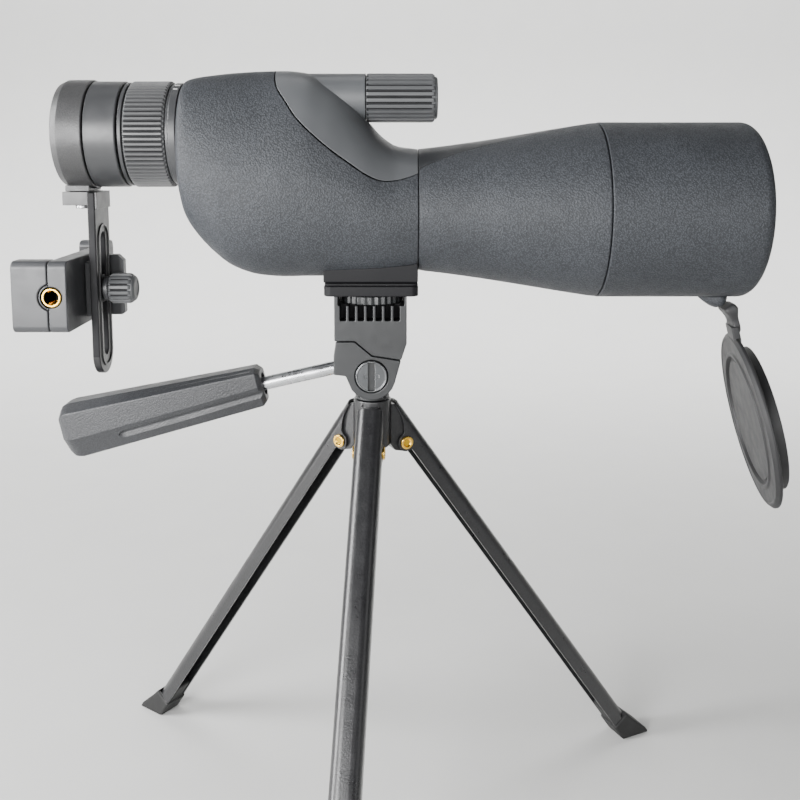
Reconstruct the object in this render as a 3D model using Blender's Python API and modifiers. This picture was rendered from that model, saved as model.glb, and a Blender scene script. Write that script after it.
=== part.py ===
"""Spotting scope on a table-top tripod, with a phone adapter on its eyepiece.

Run with: blender --background --python part.py
Metres, +Z up. +X points from the eyepiece to the objective. The origin lies on the
surface that the feet stand on, under the middle of the whole object.
"""
import math

import bpy
import bmesh
from mathutils import Matrix, Vector

MM = 0.001
GAP = 0.3 * MM
HALF_TURN = math.pi
RIGHT_ANGLE = math.pi / 2
STEPS = 22
WIDE_STEPS = 32                # for the large turned pieces of the optical tube

# ---------------------------------------------------------------- driving sizes
AXIS_HEIGHT = 280.9 * MM      # objective axis above the floor
SCOPE_X = -5.7 * MM           # scope frame's origin, at the housing's front end less 7.4 mm
PLANE_Y = 30.7 * MM           # the scope's plane of symmetry
EYE_Z = 32.3 * MM             # eyepiece axis above the objective axis
FOCUS_Z = 47.7 * MM           # focus knob's axis above the objective axis
HEAD_X = -12.2 * MM           # tripod axis, tilt pivot and camera screw, in the scope frame
PIVOT_Z = -70.7 * MM          # tilt pivot under the objective axis

HOOD_R = 37.5 * MM
HOOD_BORE_R = 32.5 * MM
HOOD_FRONT = 149.6 * MM
HOOD_BACK = 84.2 * MM
RIM_ROUND = 5.0 * MM
CONE_BACK_R = 26.1 * MM
CONE_BACK = 7.7 * MM
CONE_FRONT = 83.9 * MM
HOUSING_FRONT = 7.4 * MM
HOUSING_BACK = -91.2 * MM
SHELL = 2.5 * MM
LENS_R = 30.0 * MM

KNOB_R = 10.45 * MM
KNOB_BACK = -14.3 * MM
KNOB_FRONT = 16.0 * MM
BOSS_R = 10.3 * MM
SHAFT_R = 2.5 * MM
PRISM_X = -74.0 * MM          # the prism plate's place along the tube

EYEPIECE_R = 22.4 * MM
BARREL_R = 17.0 * MM

HUB_TOP = AXIS_HEIGHT - 83.2 * MM
LEG_SPREAD_R = 150.5 * MM     # where a leg's outer face meets the floor, from the tripod axis
RIVET_R = 14.0 * MM           # leg rivet's distance from the tripod axis
RIVET_DROP = 20.6 * MM        # leg rivet under the hub's top
LEG_WIDTH = 12.0 * MM
LEG_WALL = 1.1 * MM
LEG_BACK = 8.4 * MM           # from the rivet out to the face of the leg's web
LEG_DEPTH = 8.2 * MM
EAR = 3.8 * MM                # from the rivet in to the edge of the leg's ears
SHOE_TOP = 17.0 * MM          # how far a foot's shoe covers its leg's end
LEG_TOP = 16.9 * MM           # how far a leg runs on above its rivet
FRONT_LEG_TURN = math.radians(4.86)

HANDLE_DROP = math.radians(12.9)
HANDLE_Z = -65.8 * MM         # where the handle's axis crosses the tripod axis

CLAMP_GAP_LOW = -13.0 * MM
CLAMP_GAP_HIGH = 55.0 * MM
CLAMP_Z = -34.2 * MM          # thumb screw's axis, in the scope frame

CAP_R = 39.0 * MM
PLUG_R = 31.7 * MM
CAP_TILT = math.radians(13.6)  # the hanging cap's lean from upright
STRAP_ROOT = Vector((143.2, 0, -42.3)) * MM
CAP_HINGE = Vector((145.3, 0, -51.9)) * MM
CAP_REACH = 42.3 * MM         # from the cap's hinge to its centre
CAP_TWIST = math.radians(6)   # the soft strap lets the hanging cap turn a little

COLOURS = {
    # name: (red, green, blue, roughness, metallic)
    "armour": (0.036, 0.038, 0.041, 0.62, 0.0),
    "smooth_shell": (0.030, 0.032, 0.035, 0.38, 0.0),
    "matte_ring": (0.045, 0.047, 0.050, 0.55, 0.0),
    "inner_black": (0.008, 0.008, 0.009, 0.80, 0.0),
    "speckled_black": (0.020, 0.021, 0.023, 0.42, 0.0),
    "rubber": (0.040, 0.041, 0.043, 0.75, 0.0),
    "coated_glass": (0.10, 0.14, 0.16, 0.05, 0.0),
    "bright_steel": (0.62, 0.62, 0.62, 0.28, 1.0),
    "brass": (0.72, 0.52, 0.22, 0.30, 1.0),
    "anodised": (0.030, 0.030, 0.032, 0.35, 0.8),
}


# ---------------------------------------------------------------- small tools
def clear_scene():
    for thing in list(bpy.data.objects):
        bpy.data.objects.remove(thing, do_unlink=True)


def new_collection(name):
    collection = bpy.data.collections.new(name)
    bpy.context.scene.collection.children.link(collection)
    return collection


def empty(name, location, parent=None):
    frame = bpy.data.objects.new(name, None)
    frame.empty_display_size = 0.01
    frame.location = location
    frame.parent = parent
    PARTS.objects.link(frame)
    return frame


def material(name, key):
    red, green, blue, roughness, metallic = COLOURS[key]
    shade = bpy.data.materials.new(name)
    shade.use_nodes = True
    shader = shade.node_tree.nodes["Principled BSDF"]
    shader.inputs["Base Color"].default_value = (red, green, blue, 1.0)
    shader.inputs["Roughness"].default_value = roughness
    shader.inputs["Metallic"].default_value = metallic
    shade.diffuse_color = (red, green, blue, 1.0)
    return shade


def place(thing, frame, location, rotation):
    thing.parent = frame
    thing.location = location
    thing.rotation_euler = rotation


def part(name, mesh, key, frame, location=(0, 0, 0), rotation=(0, 0, 0)):
    """Link a mesh as one named sub-part, with its own material."""
    thing = bpy.data.objects.new(name, mesh)
    thing.data.materials.clear()
    thing.data.materials.append(material(name, key))
    PARTS.objects.link(thing)
    place(thing, frame, location, rotation)
    return thing


def cutter(name, mesh, frame, location=(0, 0, 0), rotation=(0, 0, 0)):
    thing = bpy.data.objects.new(name, mesh)
    CUTTERS.objects.link(thing)
    thing.hide_render = True
    thing.display_type = "WIRE"
    place(thing, frame, location, rotation)
    return thing


def combine(target, operation, tool):
    """Add one exact Boolean modifier: DIFFERENCE, UNION or INTERSECT."""
    modifier = target.modifiers.new(tool.name, "BOOLEAN")
    modifier.operation = operation
    modifier.solver = "EXACT"
    modifier.object = tool
    return modifier


def smooth(thing, angle=math.radians(35)):
    thing.data.shade_smooth()
    thing.data.set_sharp_from_angle(angle=angle)


# ---------------------------------------------------------------- meshes
def box_mesh(name, low, high):
    """A box between two corners."""
    low, high = Vector(low), Vector(high)
    size = high - low
    shape = Matrix.Translation((low + high) / 2) @ Matrix.Diagonal((*size, 1.0))
    mesh = bpy.data.meshes.new(name)
    work = bmesh.new()
    bmesh.ops.create_cube(work, size=1.0, matrix=shape)
    work.to_mesh(mesh)
    work.free()
    return mesh


def rod_mesh(name, radius, low, high, steps=STEPS, top_radius=None):
    """A cylinder or cone along local Z between two heights."""
    mesh = bpy.data.meshes.new(name)
    work = bmesh.new()
    bmesh.ops.create_cone(
        work,
        cap_ends=True,
        segments=steps,
        radius1=radius,
        radius2=radius if top_radius is None else top_radius,
        depth=high - low,
        matrix=Matrix.Translation((0, 0, (low + high) / 2)),
    )
    work.to_mesh(mesh)
    work.free()
    return mesh


def outline_area(points):
    pairs = zip(points, points[1:] + points[:1])
    return sum(a[0] * b[1] - b[0] * a[1] for a, b in pairs) / 2


def turned(name, outline, key, frame, location=(0, 0, 0), rotation=(0, RIGHT_ANGLE, 0), steps=STEPS):
    """Turn an outline of (radius, height) points about local Z, which points along +X by default."""
    points = list(outline)
    if outline_area(points) > 0:
        points.reverse()
    closed = min(radius for radius, _ in points) > 0
    count = len(points)
    if not closed:
        while not (points[0][0] == 0 and points[-1][0] == 0):
            points = points[1:] + points[:1]
    edges = [(i, i + 1) for i in range(count - 1)]
    if closed:
        edges.append((count - 1, 0))
    mesh = bpy.data.meshes.new(name)
    mesh.from_pydata([(radius, 0, height) for radius, height in points], edges, [])
    if key is None:
        thing = cutter(name, mesh, frame, location, rotation)
    else:
        thing = part(name, mesh, key, frame, location, rotation)
    screw = thing.modifiers.new("turned", "SCREW")
    screw.axis = "Z"
    screw.angle = 2 * math.pi
    screw.steps = steps
    screw.render_steps = steps
    screw.use_merge_vertices = True
    screw.merge_threshold = 0.00001
    screw.use_smooth_shade = True
    return thing


def sheet_mesh(name, outlines, thickness):
    """A flat outline with holes, given thickness along local Z, as a welded mesh."""
    curve = bpy.data.curves.new(name, "CURVE")
    curve.dimensions = "2D"
    curve.fill_mode = "BOTH"
    curve.extrude = thickness / 2
    for outline in outlines:
        spline = curve.splines.new("POLY")
        spline.points.add(len(outline) - 1)
        for point, (x, y) in zip(spline.points, outline):
            point.co = (x, y, 0, 1)
        spline.use_cyclic_u = True
    holder = bpy.data.objects.new(name + "_outline", curve)
    bpy.context.scene.collection.objects.link(holder)
    bpy.context.view_layer.update()
    seen = holder.evaluated_get(bpy.context.evaluated_depsgraph_get())
    mesh = bpy.data.meshes.new_from_object(seen)
    bpy.data.objects.remove(holder)
    mesh.name = name
    work = bmesh.new()
    work.from_mesh(mesh)
    bmesh.ops.remove_doubles(work, verts=work.verts, dist=0.000005)
    bmesh.ops.recalc_face_normals(work, faces=work.faces)
    work.to_mesh(mesh)
    work.free()
    mesh.materials.clear()
    return mesh


def arc(centre, radius, start_deg, end_deg, count):
    """Points on an arc, both ends included."""
    points = []
    for i in range(count):
        angle = math.radians(start_deg + (end_deg - start_deg) * i / (count - 1))
        points.append((centre[0] + radius * math.cos(angle), centre[1] + radius * math.sin(angle)))
    return points


def circle(radius, count=24, centre=(0, 0)):
    return arc(centre, radius, 0, 360 - 360 / count, count)


def rounded_rectangle(low, high, radius, count=4):
    left, bottom = low[0] + radius, low[1] + radius
    right, top = high[0] - radius, high[1] - radius
    return (
        arc((right, top), radius, 0, 90, count)
        + arc((left, top), radius, 90, 180, count)
        + arc((left, bottom), radius, 180, 270, count)
        + arc((right, bottom), radius, 270, 360, count)
    )


def stadium(half_width, low, high, count=7):
    """An upright slot outline between two heights."""
    top = arc((0, high - half_width), half_width, 0, 180, count)
    bottom = arc((0, low + half_width), half_width, 180, 360, count)
    return top + bottom


def ribbed(radius, depth, ribs):
    """A round outline with straight-sided ribs."""
    points = []
    for i in range(ribs):
        for share, r in ((0.0, radius), (0.5, radius - depth)):
            angle = 2 * math.pi * (i + share) / ribs
            points.append((r * math.cos(angle), r * math.sin(angle)))
    return points


def zigzag(radius, depth, ribs):
    """A round outline with sharp ribs."""
    points = []
    for i in range(2 * ribs):
        r = radius - depth * (i % 2)
        angle = math.pi * i / ribs
        points.append((r * math.cos(angle), r * math.sin(angle)))
    return points


def loft_mesh(name, rings):
    """Skin a row of like rings, and close both ends."""
    count = len(rings[0])
    points = [point for ring in rings for point in ring]
    faces = []
    for row in range(len(rings) - 1):
        for i in range(count):
            j = (i + 1) % count
            a, b = row * count + i, row * count + j
            faces.append((a, b, b + count, a + count))
    faces.append(tuple(range(count)))
    last = (len(rings) - 1) * count
    faces.append(tuple(range(last, last + count)))
    mesh = bpy.data.meshes.new(name)
    mesh.from_pydata(points, [], faces)
    work = bmesh.new()
    work.from_mesh(mesh)
    bmesh.ops.recalc_face_normals(work, faces=work.faces)
    work.to_mesh(mesh)
    work.free()
    return mesh


# ---------------------------------------------------------------- the housing's form
# Stations along X: place, underside, top and half width in millimetres.
HOUSING_STATIONS = (
    (-91.2, 1.0, 53.0, 22.8),
    (-89.8, -4.2, 54.9, 25.2),
    (-86.0, -10.4, 56.1, 26.8),
    (-80.0, -17.2, 57.0, 28.0),
    (-71.0, -24.2, 58.0, 29.2),
    (-60.0, -27.8, 58.7, 30.0),
    (-49.0, -28.6, 59.0, 30.3),
    (-39.8, -28.4, 58.2, 30.2),
    (-31.0, -28.4, 54.2, 29.8),
    (-22.0, -28.2, 47.4, 29.0),
    (-14.0, -27.8, 38.4, 28.2),
    (-8.0, -27.4, 31.6, 27.5),
    (-1.0, -26.8, 27.2, 26.8),
    (7.4, -26.1, 26.1, 26.1),
)
SECTION_POINTS = 20


def section_power(x):
    """How square a section is: a circle at the front end, fuller behind."""
    share = min(max((HOUSING_FRONT - x) / (45 * MM), 0.0), 1.0)
    return 2.0 + 0.35 * share


def section_taper(x):
    """How much narrower a section is at its top."""
    share = min(max((HOUSING_FRONT - x) / (40 * MM), 0.0), 1.0)
    tail = min(max((x - HOUSING_BACK) / (35 * MM), 0.0), 1.0)
    return 0.24 * share * (0.35 + 0.65 * tail)


def housing_rings(inset, first, last):
    """The housing's rings between two stations, moved inwards by an inset."""
    rings = []
    for x, low, high, half in HOUSING_STATIONS[first:last]:
        x, low, high, half = x * MM, low * MM + inset, high * MM - inset, half * MM - inset
        middle, reach = (low + high) / 2, (high - low) / 2
        power, taper = section_power(x), section_taper(x)
        ring = []
        for i in range(SECTION_POINTS):
            angle = 2 * math.pi * i / SECTION_POINTS
            across, up = math.cos(angle), math.sin(angle)
            across = math.copysign(abs(across) ** (2 / power), across)
            up = math.copysign(abs(up) ** (2 / power), up)
            width = half * across * (1 - taper * max(up, 0.0))
            ring.append((x, width, middle + reach * up))
        rings.append(ring)
    return rings


def move_ring(ring, x):
    return [(x, y, z) for _, y, z in ring]


def housing_blank(name, inset=0.0):
    return loft_mesh(name, housing_rings(inset, 0, len(HOUSING_STATIONS)))


def housing_cavity(name):
    rings = housing_rings(SHELL, 1, len(HOUSING_STATIONS) - 1)
    rings.insert(0, move_ring(rings[0], HOUSING_BACK + SHELL))
    rings[1] = move_ring(rings[1], HOUSING_BACK + SHELL + 0.5 * MM)
    return loft_mesh(name, rings)


# The seam between armour and saddle, seen from the side, in millimetres.
SADDLE_SEAM = (
    (-52.3, 66.0), (-52.3, 57.0), (-50.8, 51.0), (-47.3, 45.8), (-42.5, 38.8),
    (-35.7, 32.0), (-28.4, 25.8), (-21.2, 20.6), (-15.5, 16.6), (-10.4, 13.9),
    (-6.0, 13.0), (-1.7, 13.3), (2.6, 14.3), (12.0, 17.6), (12.0, 66.0),
)


def saddle_region(name, shift, half_width=40 * MM):
    """A prism through the housing's width, bounded below by the seam."""
    outline = [(x * MM + shift, z * MM + shift) for x, z in SADDLE_SEAM]
    return sheet_mesh(name, [outline], 2 * half_width)


UPRIGHT = (RIGHT_ANGLE, 0, 0)      # lays a sheet's outline in the XZ plane, thickness along Y
ALONG_X = (0, RIGHT_ANGLE, 0)      # turns local Z to +X
FACING_X = (RIGHT_ANGLE, 0, RIGHT_ANGLE)  # lays a sheet's outline in the YZ plane, thickness along X


# ---------------------------------------------------------------- optical tube
def make_hood(frame):
    outline = arc((HOOD_R - RIM_ROUND, HOOD_FRONT - RIM_ROUND), RIM_ROUND, 90, 0, 5)
    outline += [
        (HOOD_R, HOOD_BACK),
        (34.9 * MM, HOOD_BACK),
        (34.9 * MM, 92.4 * MM),
        (HOOD_BORE_R, 92.4 * MM),
    ]
    turned("objective_hood", outline, "armour", frame, steps=WIDE_STEPS)


def cone_outline():
    """The cone's outer line from back to front, with its slight flare."""
    points = []
    for i in range(6):
        share = i / 5
        flare = 0.9 * MM * math.sin(math.pi * share)
        radius = CONE_BACK_R + (HOOD_R - CONE_BACK_R) * share - flare * (1 - share)
        points.append((radius, CONE_BACK + (CONE_FRONT - CONE_BACK) * share))
    return points


def blade_region(name, shrink):
    """A plan-view leaf over the cone, wide at the back and pointed at the front."""
    back = CONE_BACK - 1 * MM + shrink
    length = 70 * MM - 2 * shrink
    side = []
    for i in range(11):
        share = i / 10
        half = (19.4 * MM - shrink) * (1 - share) ** 0.62 * (1 - 0.2 * math.sin(math.pi * share))
        side.append((back + length * share, max(half, 0.0)))
    outline = side + [(x, -y) for x, y in reversed(side[:-1])]
    mesh = sheet_mesh(name, [outline], 60 * MM)
    mesh.transform(Matrix.Translation((0, 0, 30 * MM)))
    return mesh


def make_cone(frame):
    skin = cone_outline()
    inner = [
        (34.6 * MM, CONE_FRONT), (34.6 * MM, 92.1 * MM), (31.9 * MM, 92.1 * MM),
        (31.9 * MM, 79.7 * MM), (30.2 * MM, 79.7 * MM), (20.8 * MM, 10 * MM),
        (20.8 * MM, 0.6 * MM), (23.3 * MM, 0.6 * MM), (23.3 * MM, CONE_BACK),
    ]
    cone = turned("barrel_cone", skin + inner, "armour", frame, steps=WIDE_STEPS)
    deep = [(r - 1.3 * MM, x) for r, x in skin]
    proud = [(r + 3 * MM, x) for r, x in reversed(skin)]
    pocket = turned("blade_pocket", deep + proud, None, frame, steps=WIDE_STEPS)
    combine(pocket, "INTERSECT", cutter("blade_pocket_leaf", blade_region("blade_pocket_leaf", 0.0), frame))
    combine(cone, "DIFFERENCE", pocket)
    under = [(r - 1.0 * MM, x) for r, x in skin]
    blade = turned("barrel_blade", under + list(reversed(skin)), "smooth_shell", frame, steps=WIDE_STEPS)
    combine(blade, "INTERSECT", cutter("blade_leaf", blade_region("blade_leaf", GAP), frame))


def make_objective(frame):
    cell = [
        (31.5 * MM, 95 * MM), (31.5 * MM, 80 * MM), (27.5 * MM, 80 * MM),
        (27.5 * MM, 83 * MM), (30.3 * MM, 83 * MM), (30.3 * MM, 95 * MM),
    ]
    turned("objective_cell", cell, "inner_black", frame, steps=WIDE_STEPS)
    front, back = 88.6 * MM, 83.3 * MM
    lens = [(0, front + 3 * MM), (LENS_R * 0.5, front + 2.25 * MM), (LENS_R * 0.8, front + 1.1 * MM)]
    lens += [(LENS_R, front), (LENS_R, back), (0, back)]
    turned("objective_lens", lens, "coated_glass", frame, steps=WIDE_STEPS)
    ring = [(30.0 * MM, 92.4 * MM), (30.0 * MM, 89.9 * MM), (27.6 * MM, 89.9 * MM), (27.6 * MM, 92.4 * MM)]
    retainer = turned("lens_retaining_ring", ring, "inner_black", frame, steps=WIDE_STEPS)
    for side in (-1, 1):
        low = (-1.2 * MM, side * 29 * MM - 1.6 * MM, 91.3 * MM)
        high = (1.2 * MM, side * 29 * MM + 1.6 * MM, 93 * MM)
        name = "spanner_slot_%d" % (side + 1)
        combine(retainer, "DIFFERENCE", cutter(name, box_mesh(name, low, high), frame, rotation=ALONG_X))


def make_housing(frame):
    housing = part("prism_housing", housing_blank("prism_housing"), "armour", frame)
    saddle = part("saddle_cover", housing_blank("saddle_cover"), "smooth_shell", frame)
    cavity = cutter("housing_cavity", housing_cavity("housing_cavity"), frame)
    combine(housing, "DIFFERENCE", cavity)
    combine(saddle, "DIFFERENCE", cavity)
    region = cutter("saddle_cut", saddle_region("saddle_cut", 0.0), frame, rotation=UPRIGHT)
    combine(housing, "DIFFERENCE", region)
    kept = cutter("saddle_keep", saddle_region("saddle_keep", 0.24 * MM), frame, rotation=UPRIGHT)
    combine(saddle, "INTERSECT", kept)
    spigot = rod_mesh("front_bore", 23.65 * MM, -6 * MM, 10 * MM, WIDE_STEPS)
    front_bore = cutter("front_bore", spigot, frame, rotation=ALONG_X)
    combine(housing, "DIFFERENCE", front_bore)
    combine(saddle, "DIFFERENCE", front_bore)
    socket = rod_mesh("eyepiece_bore", BARREL_R + GAP, -95 * MM, -80 * MM)
    combine(housing, "DIFFERENCE", cutter("eyepiece_bore", socket, frame, (0, 0, EYE_Z), ALONG_X))
    screw_hole = rod_mesh("foot_screw_hole", 5.3 * MM, -35 * MM, -20 * MM, 20)
    combine(housing, "DIFFERENCE", cutter("foot_screw_hole", screw_hole, frame, (HEAD_X, 0, 0)))
    boss = rod_mesh("focus_boss", BOSS_R, -47 * MM, KNOB_BACK - GAP, 28)
    combine(saddle, "UNION", cutter("focus_boss", boss, frame, (0, 0, FOCUS_Z), ALONG_X))
    relief = rod_mesh("knob_relief", KNOB_R + 2 * GAP, KNOB_BACK - GAP, 25 * MM, 28)
    combine(saddle, "DIFFERENCE", cutter("knob_relief", relief, frame, (0, 0, FOCUS_Z), ALONG_X))
    shaft_hole = rod_mesh("focus_shaft_hole", SHAFT_R + GAP, -60 * MM, 0, 16)
    combine(saddle, "DIFFERENCE", cutter("focus_shaft_hole", shaft_hole, frame, (0, 0, FOCUS_Z), ALONG_X))


def make_foot(frame):
    top, bottom = -18 * MM, -29.7 * MM
    block = box_mesh("tripod_foot", (-32.3 * MM, -15 * MM, bottom), (7.6 * MM, 15 * MM, top))
    foot = part("tripod_foot", block, "armour", frame)
    seat = cutter("foot_seat", housing_blank("foot_seat", -GAP), frame)
    combine(foot, "DIFFERENCE", seat)
    front = turned("foot_front_seat", [(26.5 * MM, 12 * MM), (26.5 * MM, 7 * MM), (0, 7 * MM), (0, 12 * MM)],
                   None, frame)
    combine(foot, "DIFFERENCE", front)
    hole = rod_mesh("foot_hole", 5.3 * MM, -40 * MM, -10 * MM, 20)
    combine(foot, "DIFFERENCE", cutter("foot_hole", hole, frame, (HEAD_X, 0, 0)))
    bush = [(5.0 * MM, -22 * MM), (5.0 * MM, -29.6 * MM), (3.4 * MM, -29.6 * MM), (3.4 * MM, -22 * MM)]
    turned("foot_bush", bush, "brass", frame, (HEAD_X, 0, 0), (0, 0, 0), 20)


def make_focus(frame, knob_frame, carriage_frame):
    outline = zigzag(KNOB_R, 0.7 * MM, 24)
    length = KNOB_FRONT - KNOB_BACK - 2 * MM
    knob_mesh = sheet_mesh("focus_knob", [outline], length)
    middle = KNOB_BACK + length / 2
    knob = part("focus_knob", knob_mesh, "rubber", knob_frame, (middle, 0, 0), ALONG_X)
    cap = rod_mesh("knob_end", 9.6 * MM, length / 2 - 1 * MM, length / 2 + 2 * MM, 24, 8.6 * MM)
    combine(knob, "UNION", cutter("knob_end", cap, knob_frame, (middle, 0, 0), ALONG_X))
    hole = rod_mesh("knob_hole", SHAFT_R + GAP, -30 * MM, 6 * MM, 16)
    combine(knob, "DIFFERENCE", cutter("knob_hole", hole, knob_frame, (0, 0, 0), ALONG_X))
    shaft = [(SHAFT_R, 5 * MM), (SHAFT_R, -62 * MM), (0, -62 * MM), (0, 5 * MM)]
    turned("focus_shaft", shaft, "bright_steel", knob_frame, steps=16)

    # The nut rides on the shaft and carries the focusing lens on the objective axis.
    plate = [
        *arc((0, FOCUS_Z), 6.5 * MM, 0, 180, 7),
        (-4 * MM, 14 * MM),
        *arc((0, 0), 15 * MM, 105, 435, 20),
        (4 * MM, 14 * MM),
    ]
    holes = [circle(SHAFT_R + GAP, 16, (0, FOCUS_Z)), circle(11.8 * MM, 24)]
    carriage = sheet_mesh("focus_carriage", [plate] + holes, 4 * MM)
    part("focus_carriage", carriage, "anodised", carriage_frame, (-54 * MM, 0, 0), FACING_X)
    lens = [(0, 2.4 * MM), (8 * MM, 1.7 * MM), (11.5 * MM, 0.8 * MM), (11.5 * MM, -1.5 * MM), (0, -1.5 * MM)]
    turned("focus_lens", lens, "coated_glass", carriage_frame, (-54 * MM, 0, 0), steps=24)


def prism_mesh(name, leg, depth):
    """A right-angle prism, its long face square to local X."""
    outline = [(0, -leg), (0, leg), (-leg, 0)]
    return sheet_mesh(name, [outline], depth)


def make_prisms(frame):
    plate = rounded_rectangle((-16 * MM, -14 * MM), (16 * MM, 44 * MM), 8 * MM)
    holes = [circle(8 * MM, 16), circle(8 * MM, 16, (0, EYE_Z))]
    mesh = sheet_mesh("prism_plate", [plate] + holes, 2 * MM)
    part("prism_plate", mesh, "anodised", frame, (PRISM_X, 0, 0), FACING_X)
    stand_off = 1 * MM + GAP
    part("prism_1", prism_mesh("prism_1", 12 * MM, 22 * MM), "coated_glass", frame,
         (PRISM_X - stand_off, 0, 3 * MM), (RIGHT_ANGLE, 0, 0))
    part("prism_2", prism_mesh("prism_2", 12 * MM, 20 * MM), "coated_glass", frame,
         (PRISM_X + stand_off, 0, 31 * MM), (RIGHT_ANGLE, 0, HALF_TURN))


# ---------------------------------------------------------------- eyepiece
def make_eyepiece(frame, ring_frame, cell_frame, cup_frame):
    """Turned pieces about the eyepiece axis. Each frame lies on that axis."""
    barrel = [
        (BARREL_R, -85 * MM), (BARREL_R, -113.4 * MM), (21.9 * MM, -113.4 * MM), (21.9 * MM, -115.2 * MM),
        (BARREL_R - 1.5 * MM, -115.2 * MM), (BARREL_R - 1.5 * MM, -132 * MM),
        (14.0 * MM, -132 * MM), (14.0 * MM, -85 * MM),
    ]
    turned("eyepiece_barrel", barrel, "matte_ring", frame)
    scale = [(21.7 * MM, -91.5 * MM), (21.7 * MM, -95.8 * MM), (BARREL_R + GAP, -95.8 * MM),
             (BARREL_R + GAP, -91.5 * MM)]
    turned("scale_ring", scale, "smooth_shell", frame)
    eye_lens = [(0, -126 * MM), (10 * MM, -127 * MM), (13.7 * MM, -128.6 * MM), (13.7 * MM, -131 * MM),
                (0, -131 * MM)]
    turned("eye_lens", eye_lens, "coated_glass", frame, steps=24)

    low, high = -113.1 * MM, -96.1 * MM
    outline = [zigzag(EYEPIECE_R, 0.55 * MM, 66), circle(BARREL_R + GAP, STEPS)]
    ring = sheet_mesh("zoom_ring", outline, high - low)
    part("zoom_ring", ring, "rubber", ring_frame, ((low + high) / 2, 0, 0), ALONG_X)
    sleeve = [(13.7 * MM, -98 * MM), (13.7 * MM, -112 * MM), (12.4 * MM, -112 * MM), (12.4 * MM, -98 * MM)]
    turned("zoom_cam_sleeve", sleeve, "brass", ring_frame, steps=24)
    cell = [(12.0 * MM, -103 * MM), (12.0 * MM, -109 * MM), (9.8 * MM, -109 * MM), (9.8 * MM, -103 * MM)]
    turned("zoom_cell", cell, "anodised", cell_frame, steps=24)
    lens = [(0, -104 * MM), (9.5 * MM, -105.2 * MM), (9.5 * MM, -107.4 * MM), (0, -108 * MM)]
    turned("zoom_lens", lens, "coated_glass", cell_frame, steps=24)

    cup = [
        (22.4 * MM, -115.8 * MM), (22.4 * MM, -128.9 * MM), (20.3 * MM, -128.9 * MM),
        (20.3 * MM, -139.5 * MM), (13.0 * MM, -139.5 * MM), (13.0 * MM, -137.6 * MM),
        (17.6 * MM, -137.6 * MM), (17.6 * MM, -131.0 * MM), (BARREL_R - 1.2 * MM, -131.0 * MM),
        (BARREL_R - 1.2 * MM, -117.0 * MM), (20.0 * MM, -115.8 * MM),
    ]
    turned("eyecup", cup, "rubber", cup_frame)


# ---------------------------------------------------------------- phone adapter
ARM_FACE = -132.1 * MM        # the arm's rear face
ARM_THICK = 3.2 * MM
ARM_HALF = 9.8 * MM
ARM_TOP = 8.0 * MM
ARM_LOW = -71.7 * MM
SLOT_HALF = 3.1 * MM


def make_adapter(frame):
    """The frame lies on the eyepiece axis, so heights here are measured from it."""
    collar = [
        (23.0 * MM, -129.4 * MM), (23.0 * MM, -139.6 * MM), (21.6 * MM, -142.6 * MM),
        (12.0 * MM, -142.6 * MM), (12.0 * MM, -140.6 * MM), (20.6 * MM, -140.6 * MM),
        (20.6 * MM, -129.4 * MM),
    ]
    ring = turned("adapter_collar", collar, "matte_ring", frame)
    lug = box_mesh("collar_lug", (-141.6 * MM, -8 * MM, -23.9 * MM), (-131.6 * MM, 8 * MM, -21.5 * MM))
    combine(ring, "UNION", cutter("collar_lug", lug, frame))

    # L-shaped arm: an upright slotted plate under a short foot that meets the collar's lug.
    top, low = ARM_TOP - EYE_Z, ARM_LOW - EYE_Z
    outline = [(ARM_HALF, top), (-ARM_HALF, top)]
    outline += arc((0, low + ARM_HALF), ARM_HALF, 180, 360, 13)
    slot = stadium(SLOT_HALF, low + 8.5 * MM, -9.8 * MM - EYE_Z)
    plate = sheet_mesh("adapter_arm", [outline, slot], ARM_THICK)
    arm = part("adapter_arm", plate, "speckled_black", frame, (ARM_FACE + ARM_THICK / 2, 0, 0), FACING_X)
    foot = box_mesh("arm_foot", (-142.6 * MM, -9.2 * MM, -29.8 * MM),
                    (ARM_FACE + 1 * MM, 9.2 * MM, -24.2 * MM))
    combine(arm, "UNION", cutter("arm_foot", foot, frame))
    front = ARM_FACE + ARM_THICK
    head = box_mesh("arm_head", (front - 1 * MM, -9.3 * MM, -31.5 * MM),
                    (front + 0.8 * MM, 9.3 * MM, -24.4 * MM))
    combine(arm, "UNION", cutter("arm_head", head, frame))
    screw_x = -137 * MM
    hole = rod_mesh("arm_screw_hole", 1.8 * MM, -35 * MM, -22.6 * MM, 12)
    drill = cutter("arm_screw_hole", hole, frame, (screw_x, 0, 0))
    combine(arm, "DIFFERENCE", drill)
    combine(ring, "DIFFERENCE", drill)
    screw = [(0, -22.9 * MM), (1.5 * MM, -22.9 * MM), (1.5 * MM, -30.1 * MM), (3.0 * MM, -30.1 * MM),
             (3.0 * MM, -31.6 * MM), (0, -31.6 * MM)]
    turned("arm_screw", screw, "bright_steel", frame, (screw_x, 0, 0), (0, 0, 0), 16)


CLAMP_HALF = 14.9 * MM
BASE_BACK = -143.8 * MM
BASE_FRONT = -136.2 * MM
JAW_BACK = -159.0 * MM
INSERT_X = -142.5 * MM
THUMB_X = -121.1 * MM


def clamp_block(name, low, high, radius=3 * MM):
    """A block with rounded edges along X. Corners are given as (x, y, z)."""
    outline = rounded_rectangle(low[1:], high[1:], radius)
    mesh = sheet_mesh(name, [outline], high[0] - low[0])
    mesh.transform(Matrix.Rotation(RIGHT_ANGLE, 4, "Z") @ Matrix.Rotation(RIGHT_ANGLE, 4, "X"))
    mesh.transform(Matrix.Translation(((low[0] + high[0]) / 2, 0, 0)))
    return mesh


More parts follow.
